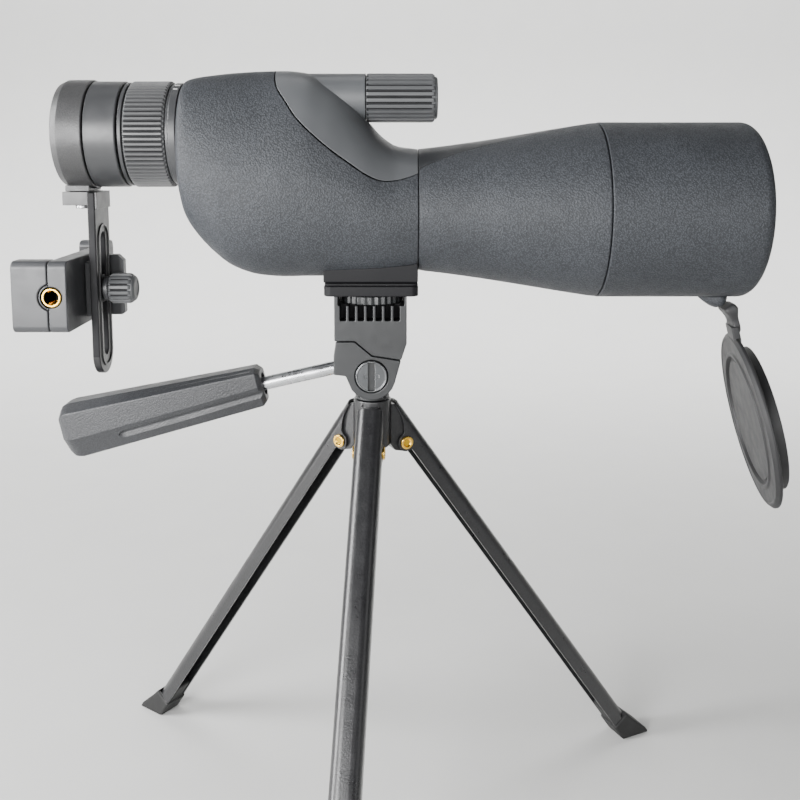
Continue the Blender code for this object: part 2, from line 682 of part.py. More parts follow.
def make_clamp(frame, jaw_frame, screw_frame):
    """The frame lies on the thumb screw's axis, so heights here are measured from it."""
    block = clamp_block("slide_block", (BASE_FRONT + GAP, -4.2 * MM, -12 * MM),
                        (ARM_FACE - GAP, 12 * MM, 12 * MM), 1 * MM)
    slide = part("slide_block", block, "speckled_black", frame)
    key = box_mesh("slide_key", (ARM_FACE - 1 * MM, -2.7 * MM, -6 * MM), (-129.3 * MM, 2.7 * MM, 6 * MM))
    combine(slide, "UNION", cutter("slide_key", key, frame))
    fence = sheet_mesh("slide_fence", [[
        (-135.5 * MM, -13.5 * MM), (-124.5 * MM, -13.5 * MM), (-123.4 * MM, -12.4 * MM),
        (-123.4 * MM, 11.0 * MM), (-126.0 * MM, 13.5 * MM), (-135.5 * MM, 13.5 * MM),
    ]], 4.5 * MM)
    combine(slide, "UNION", cutter("slide_fence", fence, frame, (0, 12.4 * MM, 0), UPRIGHT))
    thread = rod_mesh("slide_hole", 2.3 * MM, -140 * MM, -120 * MM, 16)
    combine(slide, "DIFFERENCE", cutter("slide_hole", thread, frame, (0, 0, 0), ALONG_X))

    body = clamp_block("clamp_base", (BASE_BACK, -27 * MM, -CLAMP_HALF), (BASE_FRONT, 38 * MM, CLAMP_HALF))
    base = part("clamp_base", body, "speckled_black", frame)
    pocket = box_mesh("clamp_pocket", (-142.2 * MM, -14 * MM, -5.8 * MM), (-137.8 * MM, 45 * MM, 5.8 * MM))
    combine(base, "DIFFERENCE", cutter("clamp_pocket", pocket, frame))
    boss = rod_mesh("insert_boss", 5.4 * MM, -26.9 * MM, -15.7 * MM, 24)
    boss_tool = cutter("insert_boss", boss, frame, (INSERT_X, 0, 0), (-RIGHT_ANGLE, 0, 0))
    combine(base, "UNION", boss_tool)
    bore = rod_mesh("insert_bore", 4.3 * MM, -30 * MM, -18 * MM, 20)
    bore_tool = cutter("insert_bore", bore, frame, (INSERT_X, 0, 0), (-RIGHT_ANGLE, 0, 0))
    combine(base, "DIFFERENCE", bore_tool)
    insert = [(4.0 * MM, 27.3 * MM), (4.0 * MM, 18.4 * MM), (2.5 * MM, 18.4 * MM), (2.5 * MM, 27.3 * MM)]
    turned("brass_insert", insert, "brass", frame, (INSERT_X, 0, 0), (RIGHT_ANGLE, 0, 0), 20)

    near = clamp_block("near_jaw", (JAW_BACK, -27 * MM, -CLAMP_HALF),
                       (BASE_BACK - GAP, CLAMP_GAP_LOW - 2.3 * MM, CLAMP_HALF))
    jaw = part("near_jaw", near, "speckled_black", frame)
    clear = rod_mesh("jaw_notch", 5.7 * MM, -30 * MM, -10 * MM, 24)
    combine(jaw, "DIFFERENCE", cutter("jaw_notch", clear, frame, (INSERT_X, 0, 0), (-RIGHT_ANGLE, 0, 0)))
    pad = box_mesh("near_pad", (JAW_BACK + 1 * MM, CLAMP_GAP_LOW - 2 * MM, -12 * MM),
                   (BASE_BACK - 1 * MM, CLAMP_GAP_LOW, 12 * MM))
    part("near_pad", pad, "rubber", frame)

    # The far jaw's tail telescopes into the base.
    tail = box_mesh("far_jaw", (-141.9 * MM, 0, -5.5 * MM), (-138.1 * MM, 59 * MM, 5.5 * MM))
    far = part("far_jaw", tail, "speckled_black", jaw_frame)
    knuckle = box_mesh("far_jaw_knuckle", (-150 * MM, 58 * MM, -5.5 * MM), (-138.1 * MM, 65 * MM, 5.5 * MM))
    combine(far, "UNION", cutter("far_jaw_knuckle", knuckle, jaw_frame))
    head = clamp_block("far_jaw_head", (JAW_BACK, CLAMP_GAP_HIGH + 2.3 * MM, -CLAMP_HALF),
                       (-144.5 * MM, 66 * MM, CLAMP_HALF))
    combine(far, "UNION", cutter("far_jaw_head", head, jaw_frame))
    far_pad = box_mesh("far_pad", (JAW_BACK + 1 * MM, CLAMP_GAP_HIGH, -12 * MM),
                       (BASE_BACK - 1 * MM, CLAMP_GAP_HIGH + 2 * MM, 12 * MM))
    part("far_pad", far_pad, "rubber", jaw_frame)

    # Thumb screw: washer face, ribbed barrel, domed end and stud.
    ribs = sheet_mesh("thumb_screw", [ribbed(6.6 * MM, 0.6 * MM, 16)], 9.6 * MM)
    screw = part("thumb_screw", ribs, "matte_ring", screw_frame, (THUMB_X, 0, 0), ALONG_X)
    end = rod_mesh("thumb_end", 5.9 * MM, 4 * MM, 6.2 * MM, 24, 4.4 * MM)
    combine(screw, "UNION", cutter("thumb_end", end, screw_frame, (THUMB_X, 0, 0), ALONG_X))
    stud = rod_mesh("thumb_stud", 2.0 * MM, -13.0 * MM, -4 * MM, 16)
    combine(screw, "UNION", cutter("thumb_stud", stud, screw_frame, (THUMB_X, 0, 0), ALONG_X))
    washer = [(5.4 * MM, -126.3 * MM), (5.4 * MM, -128.5 * MM), (2.3 * MM, -128.5 * MM),
              (2.3 * MM, -126.3 * MM)]
    turned("thumb_washer", washer, "speckled_black", frame, steps=24)


# ---------------------------------------------------------------- lens cap
def make_cap(frame, strap_frame, cap_frame):
    pad = box_mesh("strap_anchor", (128.5 * MM, -7 * MM, -41.6 * MM), (141.2 * MM, 7 * MM, -30 * MM))
    anchor = part("strap_anchor", pad, "rubber", frame)
    seat = [(HOOD_R + GAP, 160 * MM), (HOOD_R + GAP, 100 * MM), (0, 100 * MM), (0, 160 * MM)]
    combine(anchor, "DIFFERENCE", turned("anchor_seat", seat, None, frame, steps=WIDE_STEPS))

    link = CAP_HINGE - STRAP_ROOT
    angle = math.atan2(link.x, -link.z)
    length = link.length
    neck = box_mesh("cap_strap", (-1.3 * MM, -6 * MM, -length + 2.1 * MM), (1.3 * MM, 6 * MM, 1.2 * MM))
    part("cap_strap", neck, "rubber", strap_frame, rotation=(0, -angle, 0))

    # The cap hangs from its hinge. Locally +Z runs from the hinge to the cap's centre.
    hang = empty("cap_hang_frame", (0, 0, 0), cap_frame)
    hang.rotation_euler = (0, HALF_TURN - CAP_TILT, 0)
    disc = [
        (0, 1.0 * MM), (28.0 * MM, 1.0 * MM), (28.6 * MM, 1.9 * MM), (30.0 * MM, 1.9 * MM),
        (30.6 * MM, 1.2 * MM), (37.6 * MM, 1.2 * MM), (CAP_R, 0), (CAP_R, -1.0 * MM),
        (38.4 * MM, -1.4 * MM), (PLUG_R, -1.4 * MM), (PLUG_R, -6.4 * MM), (29.9 * MM, -6.4 * MM),
        (29.9 * MM, -1.2 * MM), (0, -1.2 * MM),
    ]
    lie = (0, RIGHT_ANGLE, CAP_TWIST)
    cap = turned("lens_cap", disc, "rubber", hang, (0, 0, CAP_REACH), lie, WIDE_STEPS)
    tab = box_mesh("cap_tab", (-1.1 * MM, -6 * MM, -1.2 * MM), (1.1 * MM, 6 * MM, 5 * MM))
    combine(cap, "UNION", cutter("cap_tab", tab, hang, rotation=(0, 0, CAP_TWIST)))


# ---------------------------------------------------------------- tripod head
def make_platform(frame):
    plan = rounded_rectangle((-19.9 * MM, -17 * MM), (19.9 * MM, 17 * MM), 3 * MM)
    plate = sheet_mesh("platform_plate", [plan, circle(3.6 * MM, 20)], 4.4 * MM)
    part("platform_plate", plate, "speckled_black", frame, (0, 0, -33.2 * MM))
    pad = sheet_mesh("platform_pad", [rounded_rectangle((-18 * MM, -14 * MM), (18 * MM, 14 * MM), 2 * MM),
                                      circle(6 * MM, 20)], 0.7 * MM)
    part("platform_pad", pad, "rubber", frame, (0, 0, -30.35 * MM))


def make_camera_screw(frame):
    wheel = sheet_mesh("camera_screw", [ribbed(13.4 * MM, 0.8 * MM, 28)], 3.4 * MM)
    screw = part("camera_screw", wheel, "matte_ring", frame, (0, 0, -37.9 * MM))
    stud = rod_mesh("camera_stud", 3.1 * MM, 0, 14 * MM, 20)
    combine(screw, "UNION", cutter("camera_stud", stud, frame, (0, 0, -37.9 * MM)))


def make_head(frame):
    """The tilting head. The frame lies on the tripod axis at the objective axis's height."""
    upper = [
        (-15.8, -35.7), (-15.8, -55.2), (-7.0, -55.2), (0.3, -61.4), (12.7, -63.4),
        (15.1, -56.2), (15.1, -35.7),
    ]
    block_mesh = sheet_mesh("head_block", [[(x * MM, z * MM) for x, z in upper]], 26 * MM)
    block = part("head_block", block_mesh, "speckled_black", frame, rotation=UPRIGHT)
    bay = box_mesh("wheel_bay", (-14.1 * MM, -20 * MM, -39.9 * MM), (14.1 * MM, 20 * MM, -30 * MM))
    combine(block, "DIFFERENCE", cutter("wheel_bay", bay, frame))
    for i in range(7):
        x = (-12.0 + 3.8 * i) * MM
        for side in (-1, 1):
            name = "comb_slot_%d_%d" % (i + 1, side + 1)
            low = (x - 1.3 * MM, side * 13 * MM - 6 * MM, -46.4 * MM)
            high = (x + 1.3 * MM, side * 13 * MM + 6 * MM, -39.0 * MM)
            combine(block, "DIFFERENCE", cutter(name, box_mesh(name, low, high), frame))

    # Two cheeks with the handle's lug, below the seam.
    lower = [(-15.3, -55.7), (-7.2, -55.7), (0.2, -61.9), (12.6, -63.9)]
    cheek = [(x * MM, z * MM) for x, z in lower]
    cheek += arc((0, PIVOT_Z), 10.4 * MM, -15, -145, 9)
    cheek += [(-11.1 * MM, -70.6 * MM), (-16.2 * MM, -70.0 * MM), (-16.2 * MM, -62.0 * MM)]
    lower_mesh = sheet_mesh("tilt_housing", [cheek], 25 * MM)
    housing = part("tilt_housing", lower_mesh, "speckled_black", frame, rotation=UPRIGHT)
    fork = [(-10.9 * MM, PIVOT_Z - 30 * MM), (-10.9 * MM, PIVOT_Z + 1 * MM)]
    fork += arc((0, PIVOT_Z + 1 * MM), 9.0 * MM, 170, 10, 9)
    fork += [(20 * MM, PIVOT_Z + 1 * MM), (20 * MM, PIVOT_Z - 30 * MM)]
    fork_mesh = sheet_mesh("tongue_slot", [fork], 10.6 * MM)
    combine(housing, "DIFFERENCE", cutter("tongue_slot", fork_mesh, frame, rotation=UPRIGHT))
    bolt_hole = rod_mesh("bolt_hole", 7.2 * MM, -30 * MM, -9.3 * MM, 28)
    far_hole = rod_mesh("nut_hole", 6.2 * MM, 9.3 * MM, 30 * MM, 6)
    thin_hole = rod_mesh("bolt_shank_hole", 3.2 * MM, -30 * MM, 30 * MM, 16)
    for name, mesh in (("bolt_hole", bolt_hole), ("nut_hole", far_hole), ("bolt_shank_hole", thin_hole)):
        tool = cutter(name, mesh, frame, (0, 0, PIVOT_Z), (-RIGHT_ANGLE, 0, 0))
        combine(housing, "DIFFERENCE", tool)
    rod_hole = rod_mesh("rod_hole", 3.4 * MM, 8.5 * MM, 40 * MM, 16)
    tool = cutter("rod_hole", rod_hole, frame, (0, 0, HANDLE_Z), (0, -RIGHT_ANGLE - HANDLE_DROP, 0))
    combine(housing, "DIFFERENCE", tool)

    bolt = [
        (0, 9.8 * MM), (2.9 * MM, 9.8 * MM), (2.9 * MM, -9.6 * MM), (6.9 * MM, -9.6 * MM),
        (6.9 * MM, -12.4 * MM), (6.3 * MM, -13.0 * MM), (0, -13.0 * MM),
    ]
    screw = turned("tilt_pivot_bolt", bolt, "matte_ring", frame, (0, 0, PIVOT_Z), (-RIGHT_ANGLE, 0, 0), 28)
    coin = box_mesh("coin_slot", (-1.5 * MM, -14 * MM, -8 * MM), (1.5 * MM, -11.4 * MM, 8 * MM))
    combine(screw, "DIFFERENCE", cutter("coin_slot", coin, frame, (0, 0, PIVOT_Z)))
    nut = rod_mesh("tilt_pivot_nut", 5.8 * MM, 10.2 * MM, 12.4 * MM, 6)
    part("tilt_pivot_nut", nut, "bright_steel", frame, (0, 0, PIVOT_Z), (-RIGHT_ANGLE, 0, 0))


def make_handle(frame):
    """Locally the handle's axis is +Z, running out from the head and down."""
    rod = rod_mesh("handle_rod", 3.0 * MM, 9.5 * MM, 60 * MM, 20)
    part("handle_rod", rod, "bright_steel", frame)
    rings = []
    for along, half_up, half_down, half_side in (
        (49.0, 7.2, 7.8, 6.8), (50.8, 8.5, 9.1, 8.0), (60, 8.8, 9.6, 8.3), (133, 11.4, 13.2, 10.6),
        (136.8, 10.6, 12.2, 9.6), (139.2, 7.4, 8.6, 6.8),
    ):
        up, down, side = half_up * MM, half_down * MM, half_side * MM
        bevel = 0.45
        # Local +X is the upper side once the handle is laid out.
        ring = [
            (up, side * bevel), (up * bevel, side), (-down * bevel, side), (-down, side * bevel),
            (-down, -side * bevel), (-down * bevel, -side), (up * bevel, -side), (up, -side * bevel),
        ]
        rings.append([(x, y, along * MM) for x, y in ring])
    grip = part("handle_grip", loft_mesh("handle_grip", rings), "rubber", frame)
    hole = rod_mesh("grip_hole", 3.0 * MM + GAP, 40 * MM, 61 * MM, 20)
    combine(grip, "DIFFERENCE", cutter("grip_hole", hole, frame))


# ---------------------------------------------------------------- tripod
def make_column(frame):
    """The pan column: a tongue between the cheeks, on a turned post that turns in the hub."""
    height = AXIS_HEIGHT + PIVOT_Z - HUB_TOP
    post = [
        (0, 1.7 * MM), (7.5 * MM, 1.7 * MM), (7.5 * MM, GAP), (5.2 * MM, GAP),
        (5.2 * MM, -15.5 * MM), (0, -15.5 * MM),
    ]
    column = turned("pan_column", post, "speckled_black", frame, rotation=(0, 0, 0), steps=28)
    outline = [(5.4 * MM, -12 * MM), (6.4 * MM, -8 * MM), (6.4 * MM, 0)]
    outline += arc((0, 0), 6.4 * MM, 0, 180, 11)[1:]
    outline += [(-6.4 * MM, -8 * MM), (-5.4 * MM, -12 * MM)]
    tongue = sheet_mesh("column_tongue", [outline], 10 * MM)
    combine(column, "UNION", cutter("column_tongue", tongue, frame, (0, 0, height), UPRIGHT))
    hole = rod_mesh("tongue_hole", 3.2 * MM, -10 * MM, 10 * MM, 16)
    combine(column, "DIFFERENCE", cutter("tongue_hole", hole, frame, (0, 0, height), UPRIGHT))


def leg_turns():
    return [FRONT_LEG_TURN + i * 2 * math.pi / 3 for i in range(3)]


def make_hub(frame):
    outline = [
        (8.3 * MM, 0), (8.3 * MM, -20 * MM), (7.2 * MM, -21.7 * MM), (0, -21.7 * MM),
        (0, -17 * MM), (5.6 * MM, -17 * MM), (5.6 * MM, 0),
    ]
    hub = turned("tripod_hub", outline, "speckled_black", frame, rotation=(0, 0, 0), steps=28)
    lug = [(6.6 * MM, -2.9 * MM), (6.6 * MM, -20.5 * MM), (9.0 * MM, -24.0 * MM)]
    lug += arc((RIVET_R, -RIVET_DROP), 4.9 * MM, -80, 40, 7)
    lug += [(15.8 * MM, -13 * MM), (9.4 * MM, -2.9 * MM)]
    for i, turn in enumerate(leg_turns()):
        heading = turn_to_heading(turn)
        name = "hub_lug_%d" % (i + 1)
        mesh = sheet_mesh(name, [lug], 8.8 * MM)
        mesh.transform(Matrix.Rotation(RIGHT_ANGLE, 4, "X"))
        combine(hub, "UNION", cutter(name, mesh, frame, rotation=(0, 0, heading)))
        name = "hub_rivet_hole_%d" % (i + 1)
        hole = rod_mesh(name, 2.3 * MM, -10 * MM, 10 * MM, 16)
        hole.transform(Matrix.Rotation(RIGHT_ANGLE, 4, "X"))
        hole.transform(Matrix.Translation((RIVET_R, 0, -RIVET_DROP)))
        combine(hub, "DIFFERENCE", cutter(name, hole, frame, rotation=(0, 0, heading)))


def turn_to_heading(turn):
    """Heading about Z of a leg whose turn is counted from -Y towards -X."""
    return -RIGHT_ANGLE - turn


def leg_mesh(name, length):
    """A channel along -Z, open towards -X, whose rivet lies at the origin."""
    half = LEG_WIDTH / 2
    back = LEG_BACK
    mouth = -EAR
    corner = 2.2 * MM
    inner = half - LEG_WALL
    outline = [(mouth, half)] + arc((back - corner, half - corner), corner, 90, 0, 3)
    outline += arc((back - corner, corner - half), corner, 0, -90, 3) + [(mouth, -half)]
    outline += [(mouth, -inner)]
    outline += arc((back - corner, corner - half), corner - LEG_WALL, -90, 0, 3)
    outline += arc((back - corner, half - corner), corner - LEG_WALL, 0, 90, 3)
    outline += [(mouth, inner)]
    mesh = sheet_mesh(name, [outline], length + LEG_TOP)
    mesh.transform(Matrix.Translation((0, 0, (LEG_TOP - length) / 2)))
    return mesh


def leg_trim(name, outline):
    """A cutter through both flanges, from an outline in the leg's XZ plane."""
    mesh = sheet_mesh(name, [outline], 2 * LEG_WIDTH)
    mesh.transform(Matrix.Rotation(RIGHT_ANGLE, 4, "X"))
    return mesh


def make_leg(index, frame, length, tilt):
    """The frame lies on the rivet, with +X pointing out from the tripod axis."""
    lean = (0, -tilt, 0)
    leg = part("leg_%d" % index, leg_mesh("leg_%d" % index, length - SHOE_TOP), "speckled_black", frame,
               rotation=lean)
    name = "leg_rivet_hole_%d" % index
    hole = rod_mesh(name, 2.3 * MM, -10 * MM, 10 * MM, 16)
    combine(leg, "DIFFERENCE", cutter(name, hole, frame, rotation=(RIGHT_ANGLE, 0, 0)))
    free_edge = LEG_BACK - LEG_DEPTH
    name = "leg_lower_trim_%d" % index
    below = arc((0, 0), EAR, 190, 260, 5)
    below += [(free_edge, -4.6 * MM), (free_edge, -250 * MM), (-9 * MM, -250 * MM), (-9 * MM, -0.7 * MM)]
    combine(leg, "DIFFERENCE", cutter(name, leg_trim(name, below), frame, rotation=lean))
    name = "leg_upper_trim_%d" % index
    above = arc((0, 0), EAR, 170, 80, 5)
    above += [(2.6 * MM, 5.4 * MM), (4.2 * MM, 8.6 * MM), (5.5 * MM, 12.6 * MM), (6.0 * MM, 17.5 * MM)]
    above += [(-9 * MM, 17.5 * MM), (-9 * MM, 0.7 * MM)]
    combine(leg, "DIFFERENCE", cutter(name, leg_trim(name, above), frame, rotation=lean))

    # The foot plugs into the channel and ends in a toe with a flat sole on the floor.
    inside, outside = LEG_BACK - LEG_DEPTH, LEG_BACK - LEG_WALL - 2 * GAP
    plug_half = LEG_WIDTH / 2 - LEG_WALL - 2 * GAP
    top = SHOE_TOP - GAP - length
    profile = [
        (inside - 0.8 * MM, top), (LEG_BACK + 0.8 * MM, top), (LEG_BACK + 1.6 * MM, 12 * MM - length),
        (LEG_BACK + 4.6 * MM, -length), (LEG_BACK + 4.6 * MM, -10 * MM - length),
        (inside - 0.8 * MM, -10 * MM - length),
    ]
    shoe = sheet_mesh("foot_%d" % index, [profile], LEG_WIDTH + 1.2 * MM)
    shoe.transform(Matrix.Rotation(RIGHT_ANGLE, 4, "X"))
    foot = part("foot_%d" % index, shoe, "rubber", frame, rotation=lean)
    plug = box_mesh("foot_plug_%d" % index, (inside, -plug_half, -length),
                    (outside, plug_half, -length + SHOE_TOP + 12 * MM))
    combine(foot, "UNION", cutter("foot_plug_%d" % index, plug, frame, rotation=lean))
    floor = RIVET_DROP - HUB_TOP
    sole = box_mesh("sole_cut_%d" % index, (-60 * MM, -60 * MM, floor - 40 * MM),
                    (60 * MM + LEG_SPREAD_R, 60 * MM, floor))
    combine(foot, "DIFFERENCE", cutter("sole_cut_%d" % index, sole, frame))


def make_rivet(index, frame):
    outline = [
        (3.3 * MM, 7.0 * MM), (3.3 * MM, 6.3 * MM), (2.0 * MM, 6.3 * MM), (2.0 * MM, -6.3 * MM),
        (3.3 * MM, -6.3 * MM), (3.3 * MM, -7.0 * MM), (1.2 * MM, -7.0 * MM), (1.2 * MM, 7.0 * MM),
    ]
    turned("leg_rivet_%d" % index, outline, "brass", frame, rotation=(RIGHT_ANGLE, 0, 0), steps=16)


def make_tripod(frame):
    make_hub(frame)
    make_column(frame)
    reach, rise = LEG_SPREAD_R - RIVET_R, HUB_TOP - RIVET_DROP
    slant = math.hypot(reach, rise)
    length = math.sqrt(slant ** 2 - LEG_BACK ** 2)
    tilt = math.atan2(reach, rise) - math.asin(LEG_BACK / slant)
    for i, turn in enumerate(leg_turns()):
        heading = turn_to_heading(turn)
        place_at = (RIVET_R * math.cos(heading), RIVET_R * math.sin(heading), -RIVET_DROP)
        rivet_frame = empty("rivet_frame_%d" % (i + 1), place_at, frame)
        rivet_frame.rotation_euler = (0, 0, heading)
        make_leg(i + 1, rivet_frame, length, tilt)
        make_rivet(i + 1, rivet_frame)


# ---------------------------------------------------------------- assembly
def make_all():
    scope = empty("scope_frame", (SCOPE_X, PLANE_Y, AXIS_HEIGHT))
    head = empty("head_frame", (HEAD_X, 0, 0), scope)
    tripod = empty("tripod_frame", (SCOPE_X + HEAD_X, PLANE_Y, HUB_TOP))
    eyepiece = empty("eyepiece_frame", (0, 0, EYE_Z), scope)
    focus = empty("focus_frame", (0, 0, FOCUS_Z), scope)
    clamp = empty("clamp_frame", (0, 0, CLAMP_Z), scope)
    strap = empty("strap_frame", STRAP_ROOT, scope)
    cap = empty("cap_frame", CAP_HINGE, scope)
    handle = empty("handle_frame", (0, 0, HANDLE_Z), head)
    handle.rotation_euler = (0, -RIGHT_ANGLE - HANDLE_DROP, 0)

    make_hood(scope)
    make_cone(scope)
    make_objective(scope)
    make_housing(scope)
    make_foot(scope)
    make_focus(scope, focus, scope)
    make_prisms(scope)
    make_eyepiece(eyepiece, eyepiece, eyepiece, eyepiece)
    make_adapter(eyepiece)
    make_clamp(clamp, clamp, clamp)
    make_cap(scope, strap, cap)
    make_platform(head)
    make_camera_screw(head)
    make_head(head)
    make_handle(handle)
    make_tripod(tripod)

    for thing in PARTS.objects:
        if thing.type == "MESH":
            smooth(thing)


clear_scene()
PARTS = new_collection("spotting_scope")
CUTTERS = new_collection("cutters")
make_all()
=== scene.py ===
"""Looks of the spotting scope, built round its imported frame.

Shapes are worked out in millimetres and scaled to metres when they become objects.
"""
import math

import bmesh
import bpy
import numpy as np
from mathutils import Matrix, Vector


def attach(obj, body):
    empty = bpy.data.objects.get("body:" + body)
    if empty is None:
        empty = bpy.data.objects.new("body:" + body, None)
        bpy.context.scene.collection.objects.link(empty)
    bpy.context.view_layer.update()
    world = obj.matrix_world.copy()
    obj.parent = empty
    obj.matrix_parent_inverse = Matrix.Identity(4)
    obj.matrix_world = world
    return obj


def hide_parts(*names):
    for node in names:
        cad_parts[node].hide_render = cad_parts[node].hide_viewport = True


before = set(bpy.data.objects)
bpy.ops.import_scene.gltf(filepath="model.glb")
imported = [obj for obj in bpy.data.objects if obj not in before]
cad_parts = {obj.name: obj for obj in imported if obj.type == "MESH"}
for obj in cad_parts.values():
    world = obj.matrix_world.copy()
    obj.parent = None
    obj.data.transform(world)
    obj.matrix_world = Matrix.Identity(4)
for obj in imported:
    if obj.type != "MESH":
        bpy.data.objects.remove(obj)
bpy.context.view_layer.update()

MM = 0.001


def shift(x, y, z):
    return Matrix.Translation((x, y, z))


def turn(degrees, axis):
    return Matrix.Rotation(math.radians(degrees), 4, axis)


def clamp(value):
    return min(max(value, 0.0), 1.0)


ALONG_X = turn(90, "Y")                    # local Z becomes +X
UPRIGHT = turn(90, "X")                    # a flat outline stands in the XZ plane
FACING_X = turn(90, "Z") @ turn(90, "X")   # a flat outline stands in the YZ plane

# Frames of the CAD model, in millimetres.
EYE_UP, HUB_TOP = 32.3, 197.7
SCOPE = shift(-5.7, 30.7, 280.9)
EYE = SCOPE @ shift(0, 0, EYE_UP)
FOCUS = SCOPE @ shift(0, 0, 47.7)
HEAD = SCOPE @ shift(-12.2, 0, 0)
CLAMP = SCOPE @ shift(0, 0, -34.2)
PIVOT = HEAD @ shift(0, 0, -70.7)
HANDLE = HEAD @ shift(0, 0, -65.8) @ turn(-102.9, "Y")
HUB = shift(-17.9, 30.7, HUB_TOP)
CAP_HINGE = Vector((145.3, 0, -51.9))
STRAP_ROOT = Vector((143.2, 0, -42.3))
CAP = SCOPE @ Matrix.Translation(CAP_HINGE) @ turn(180 - 13.6, "Y")
CAP_TWIST = 6.0


# ---------------------------------------------------------------- outlines
def arc(centre, radius, start, end, count):
    points = []
    for i in range(count):
        angle = math.radians(start + (end - start) * i / (count - 1))
        points.append((centre[0] + radius * math.cos(angle), centre[1] + radius * math.sin(angle)))
    return points


def circle(radius, count=48, centre=(0, 0)):
    return arc(centre, radius, 0, 360 - 360 / count, count)


def stadium(half_width, low, high, count=17):
    top = arc((0, high - half_width), half_width, 0, 180, count)
    return top + arc((0, low + half_width), half_width, 180, 360, count)


def fillet(points, radius, sharpest=18, detail=4):
    """Round the corners of a closed outline. Corners on the turning axis stay."""
    rounded = []
    count = len(points)
    for i, point in enumerate(points):
        here = Vector(point)
        back, ahead = Vector(points[i - 1]) - here, Vector(points[(i + 1) % count]) - here
        bend = math.pi - back.angle(ahead) if min(back.length, ahead.length) > 1e-6 else 0.0
        if abs(here.x) < 1e-6 or bend < math.radians(sharpest):
            rounded.append(tuple(here))
            continue
        cut = min(radius * math.tan(bend / 2), 0.42 * back.length, 0.42 * ahead.length)
        start, end = here + back.normalized() * cut, here + ahead.normalized() * cut
        for k in range(detail + 1):
            t = k / detail
            rounded.append(tuple(start * (1 - t) ** 2 + here * 2 * t * (1 - t) + end * t ** 2))
    return rounded


def smooth_line(points, detail=6):
    """A Catmull-Rom line through an open row of points."""
    line = []
    last = len(points) - 1
    for i in range(last):
        a, b = Vector(points[max(i - 1, 0)]), Vector(points[i])
        c, d = Vector(points[i + 1]), Vector(points[min(i + 2, last)])
        for k in range(detail):
            t = k / detail
            spot = b * 2 + (c - a) * t + (a * 2 - b * 5 + c * 4 - d) * t ** 2
            spot += (b * 3 - a - c * 3 + d) * t ** 3
            line.append(tuple(spot / 2))
    line.append(tuple(points[-1]))
    return line


def monotone(places, values, where):
    """Smooth interpolation that never overshoots its points."""
    x, y = np.array(places, float), np.array(values, float)
    step, rise = np.diff(x), np.diff(y)
    slope = rise / step
    tangent = np.empty_like(y)
    tangent[0], tangent[-1] = slope[0], slope[-1]
    for i in range(1, len(y) - 1):
        same = slope[i - 1] * slope[i] > 0
        tangent[i] = 2 * slope[i - 1] * slope[i] / (slope[i - 1] + slope[i]) if same else 0.0
    i = int(np.clip(np.searchsorted(x, where) - 1, 0, len(step) - 1))
    t = (where - x[i]) / step[i]
    near = (1 + 2 * t) * (1 - t) ** 2 * y[i] + t * (1 - t) ** 2 * step[i] * tangent[i]
    return near + t ** 2 * (3 - 2 * t) * y[i + 1] + t ** 2 * (t - 1) * step[i] * tangent[i + 1]


# ---------------------------------------------------------------- solids
def skin(rings, loop=False):
    """Join a row of like rings into a closed solid; a ring of one point is a tip."""
    work = bmesh.new()
    rows = [[work.verts.new(point) for point in ring] for ring in rings]
    pairs = list(zip(rows, rows[1:]))
    if loop:
        pairs.append((rows[-1], rows[0]))
    for a, b in pairs:
        count = max(len(a), len(b))
        if count == 1:
            continue
        for i in range(count):
            j = (i + 1) % count
            corners = [a[i % len(a)], a[j % len(a)], b[j % len(b)], b[i % len(b)]]
            work.faces.new(list(dict.fromkeys(corners)))
    if not loop:
        for row in (rows[0], rows[-1]):
            if len(row) > 2:
                work.faces.new(row)
    bmesh.ops.recalc_face_normals(work, faces=work.faces)
    return work


def lathe(outline, steps=144):
    """Turn a closed outline of (radius, height) points about local Z."""
    points = list(outline)
    on_axis = [i for i, (r, _) in enumerate(points) if r < 1e-6]
    if on_axis:
        while not (points[0][0] < 1e-6 and points[-1][0] < 1e-6):
            points = points[1:] + points[:1]
    rings = []
    for r, z in points:
        if r < 1e-6:
            rings.append([(0, 0, z)])
        else:
            rings.append([(x, y, z) for x, y in circle(r, steps)])
    return skin(rings, loop=not on_axis)


def plate(outlines, low, high, edge=0.0):
    """A flat outline with holes, between two heights, its rims rounded by edge."""
    curve = bpy.data.curves.new("outline", "CURVE")
    curve.dimensions = "2D"
    curve.fill_mode = "BOTH"
    curve.extrude = (high - low) / 2 - edge
    curve.bevel_depth = edge
    curve.bevel_resolution = 2
    curve.offset = -edge
    for outline in outlines:
        spline = curve.splines.new("POLY")
        spline.points.add(len(outline) - 1)
        for point, (x, y) in zip(spline.points, outline):
            point.co = (x, y, 0, 1)
        spline.use_cyclic_u = True
    holder = bpy.data.objects.new("outline", curve)
    bpy.context.scene.collection.objects.link(holder)
    bpy.context.view_layer.update()
    mesh = bpy.data.meshes.new_from_object(holder.evaluated_get(bpy.context.evaluated_depsgraph_get()))
    bpy.data.objects.remove(holder)
    work = bmesh.new()
    work.from_mesh(mesh)
    bpy.data.meshes.remove(mesh)
    bmesh.ops.remove_doubles(work, verts=work.verts, dist=0.0005)
    bmesh.ops.recalc_face_normals(work, faces=work.faces)
    bmesh.ops.translate(work, verts=work.verts, vec=(0, 0, (low + high) / 2))
    return work


def block(low, high):
    work = bmesh.new()
    low, high = Vector(low), Vector(high)
    shape = Matrix.Translation((low + high) / 2) @ Matrix.Diagonal((*(high - low), 1.0))
    bmesh.ops.create_cube(work, size=1.0, matrix=shape)
    return work


def rod(radius, low, high, steps=48):
    return lathe([(0, low), (radius, low), (radius, high), (0, high)], steps)


FLANK = 0.22   # how much of half a rib's pitch its flank takes


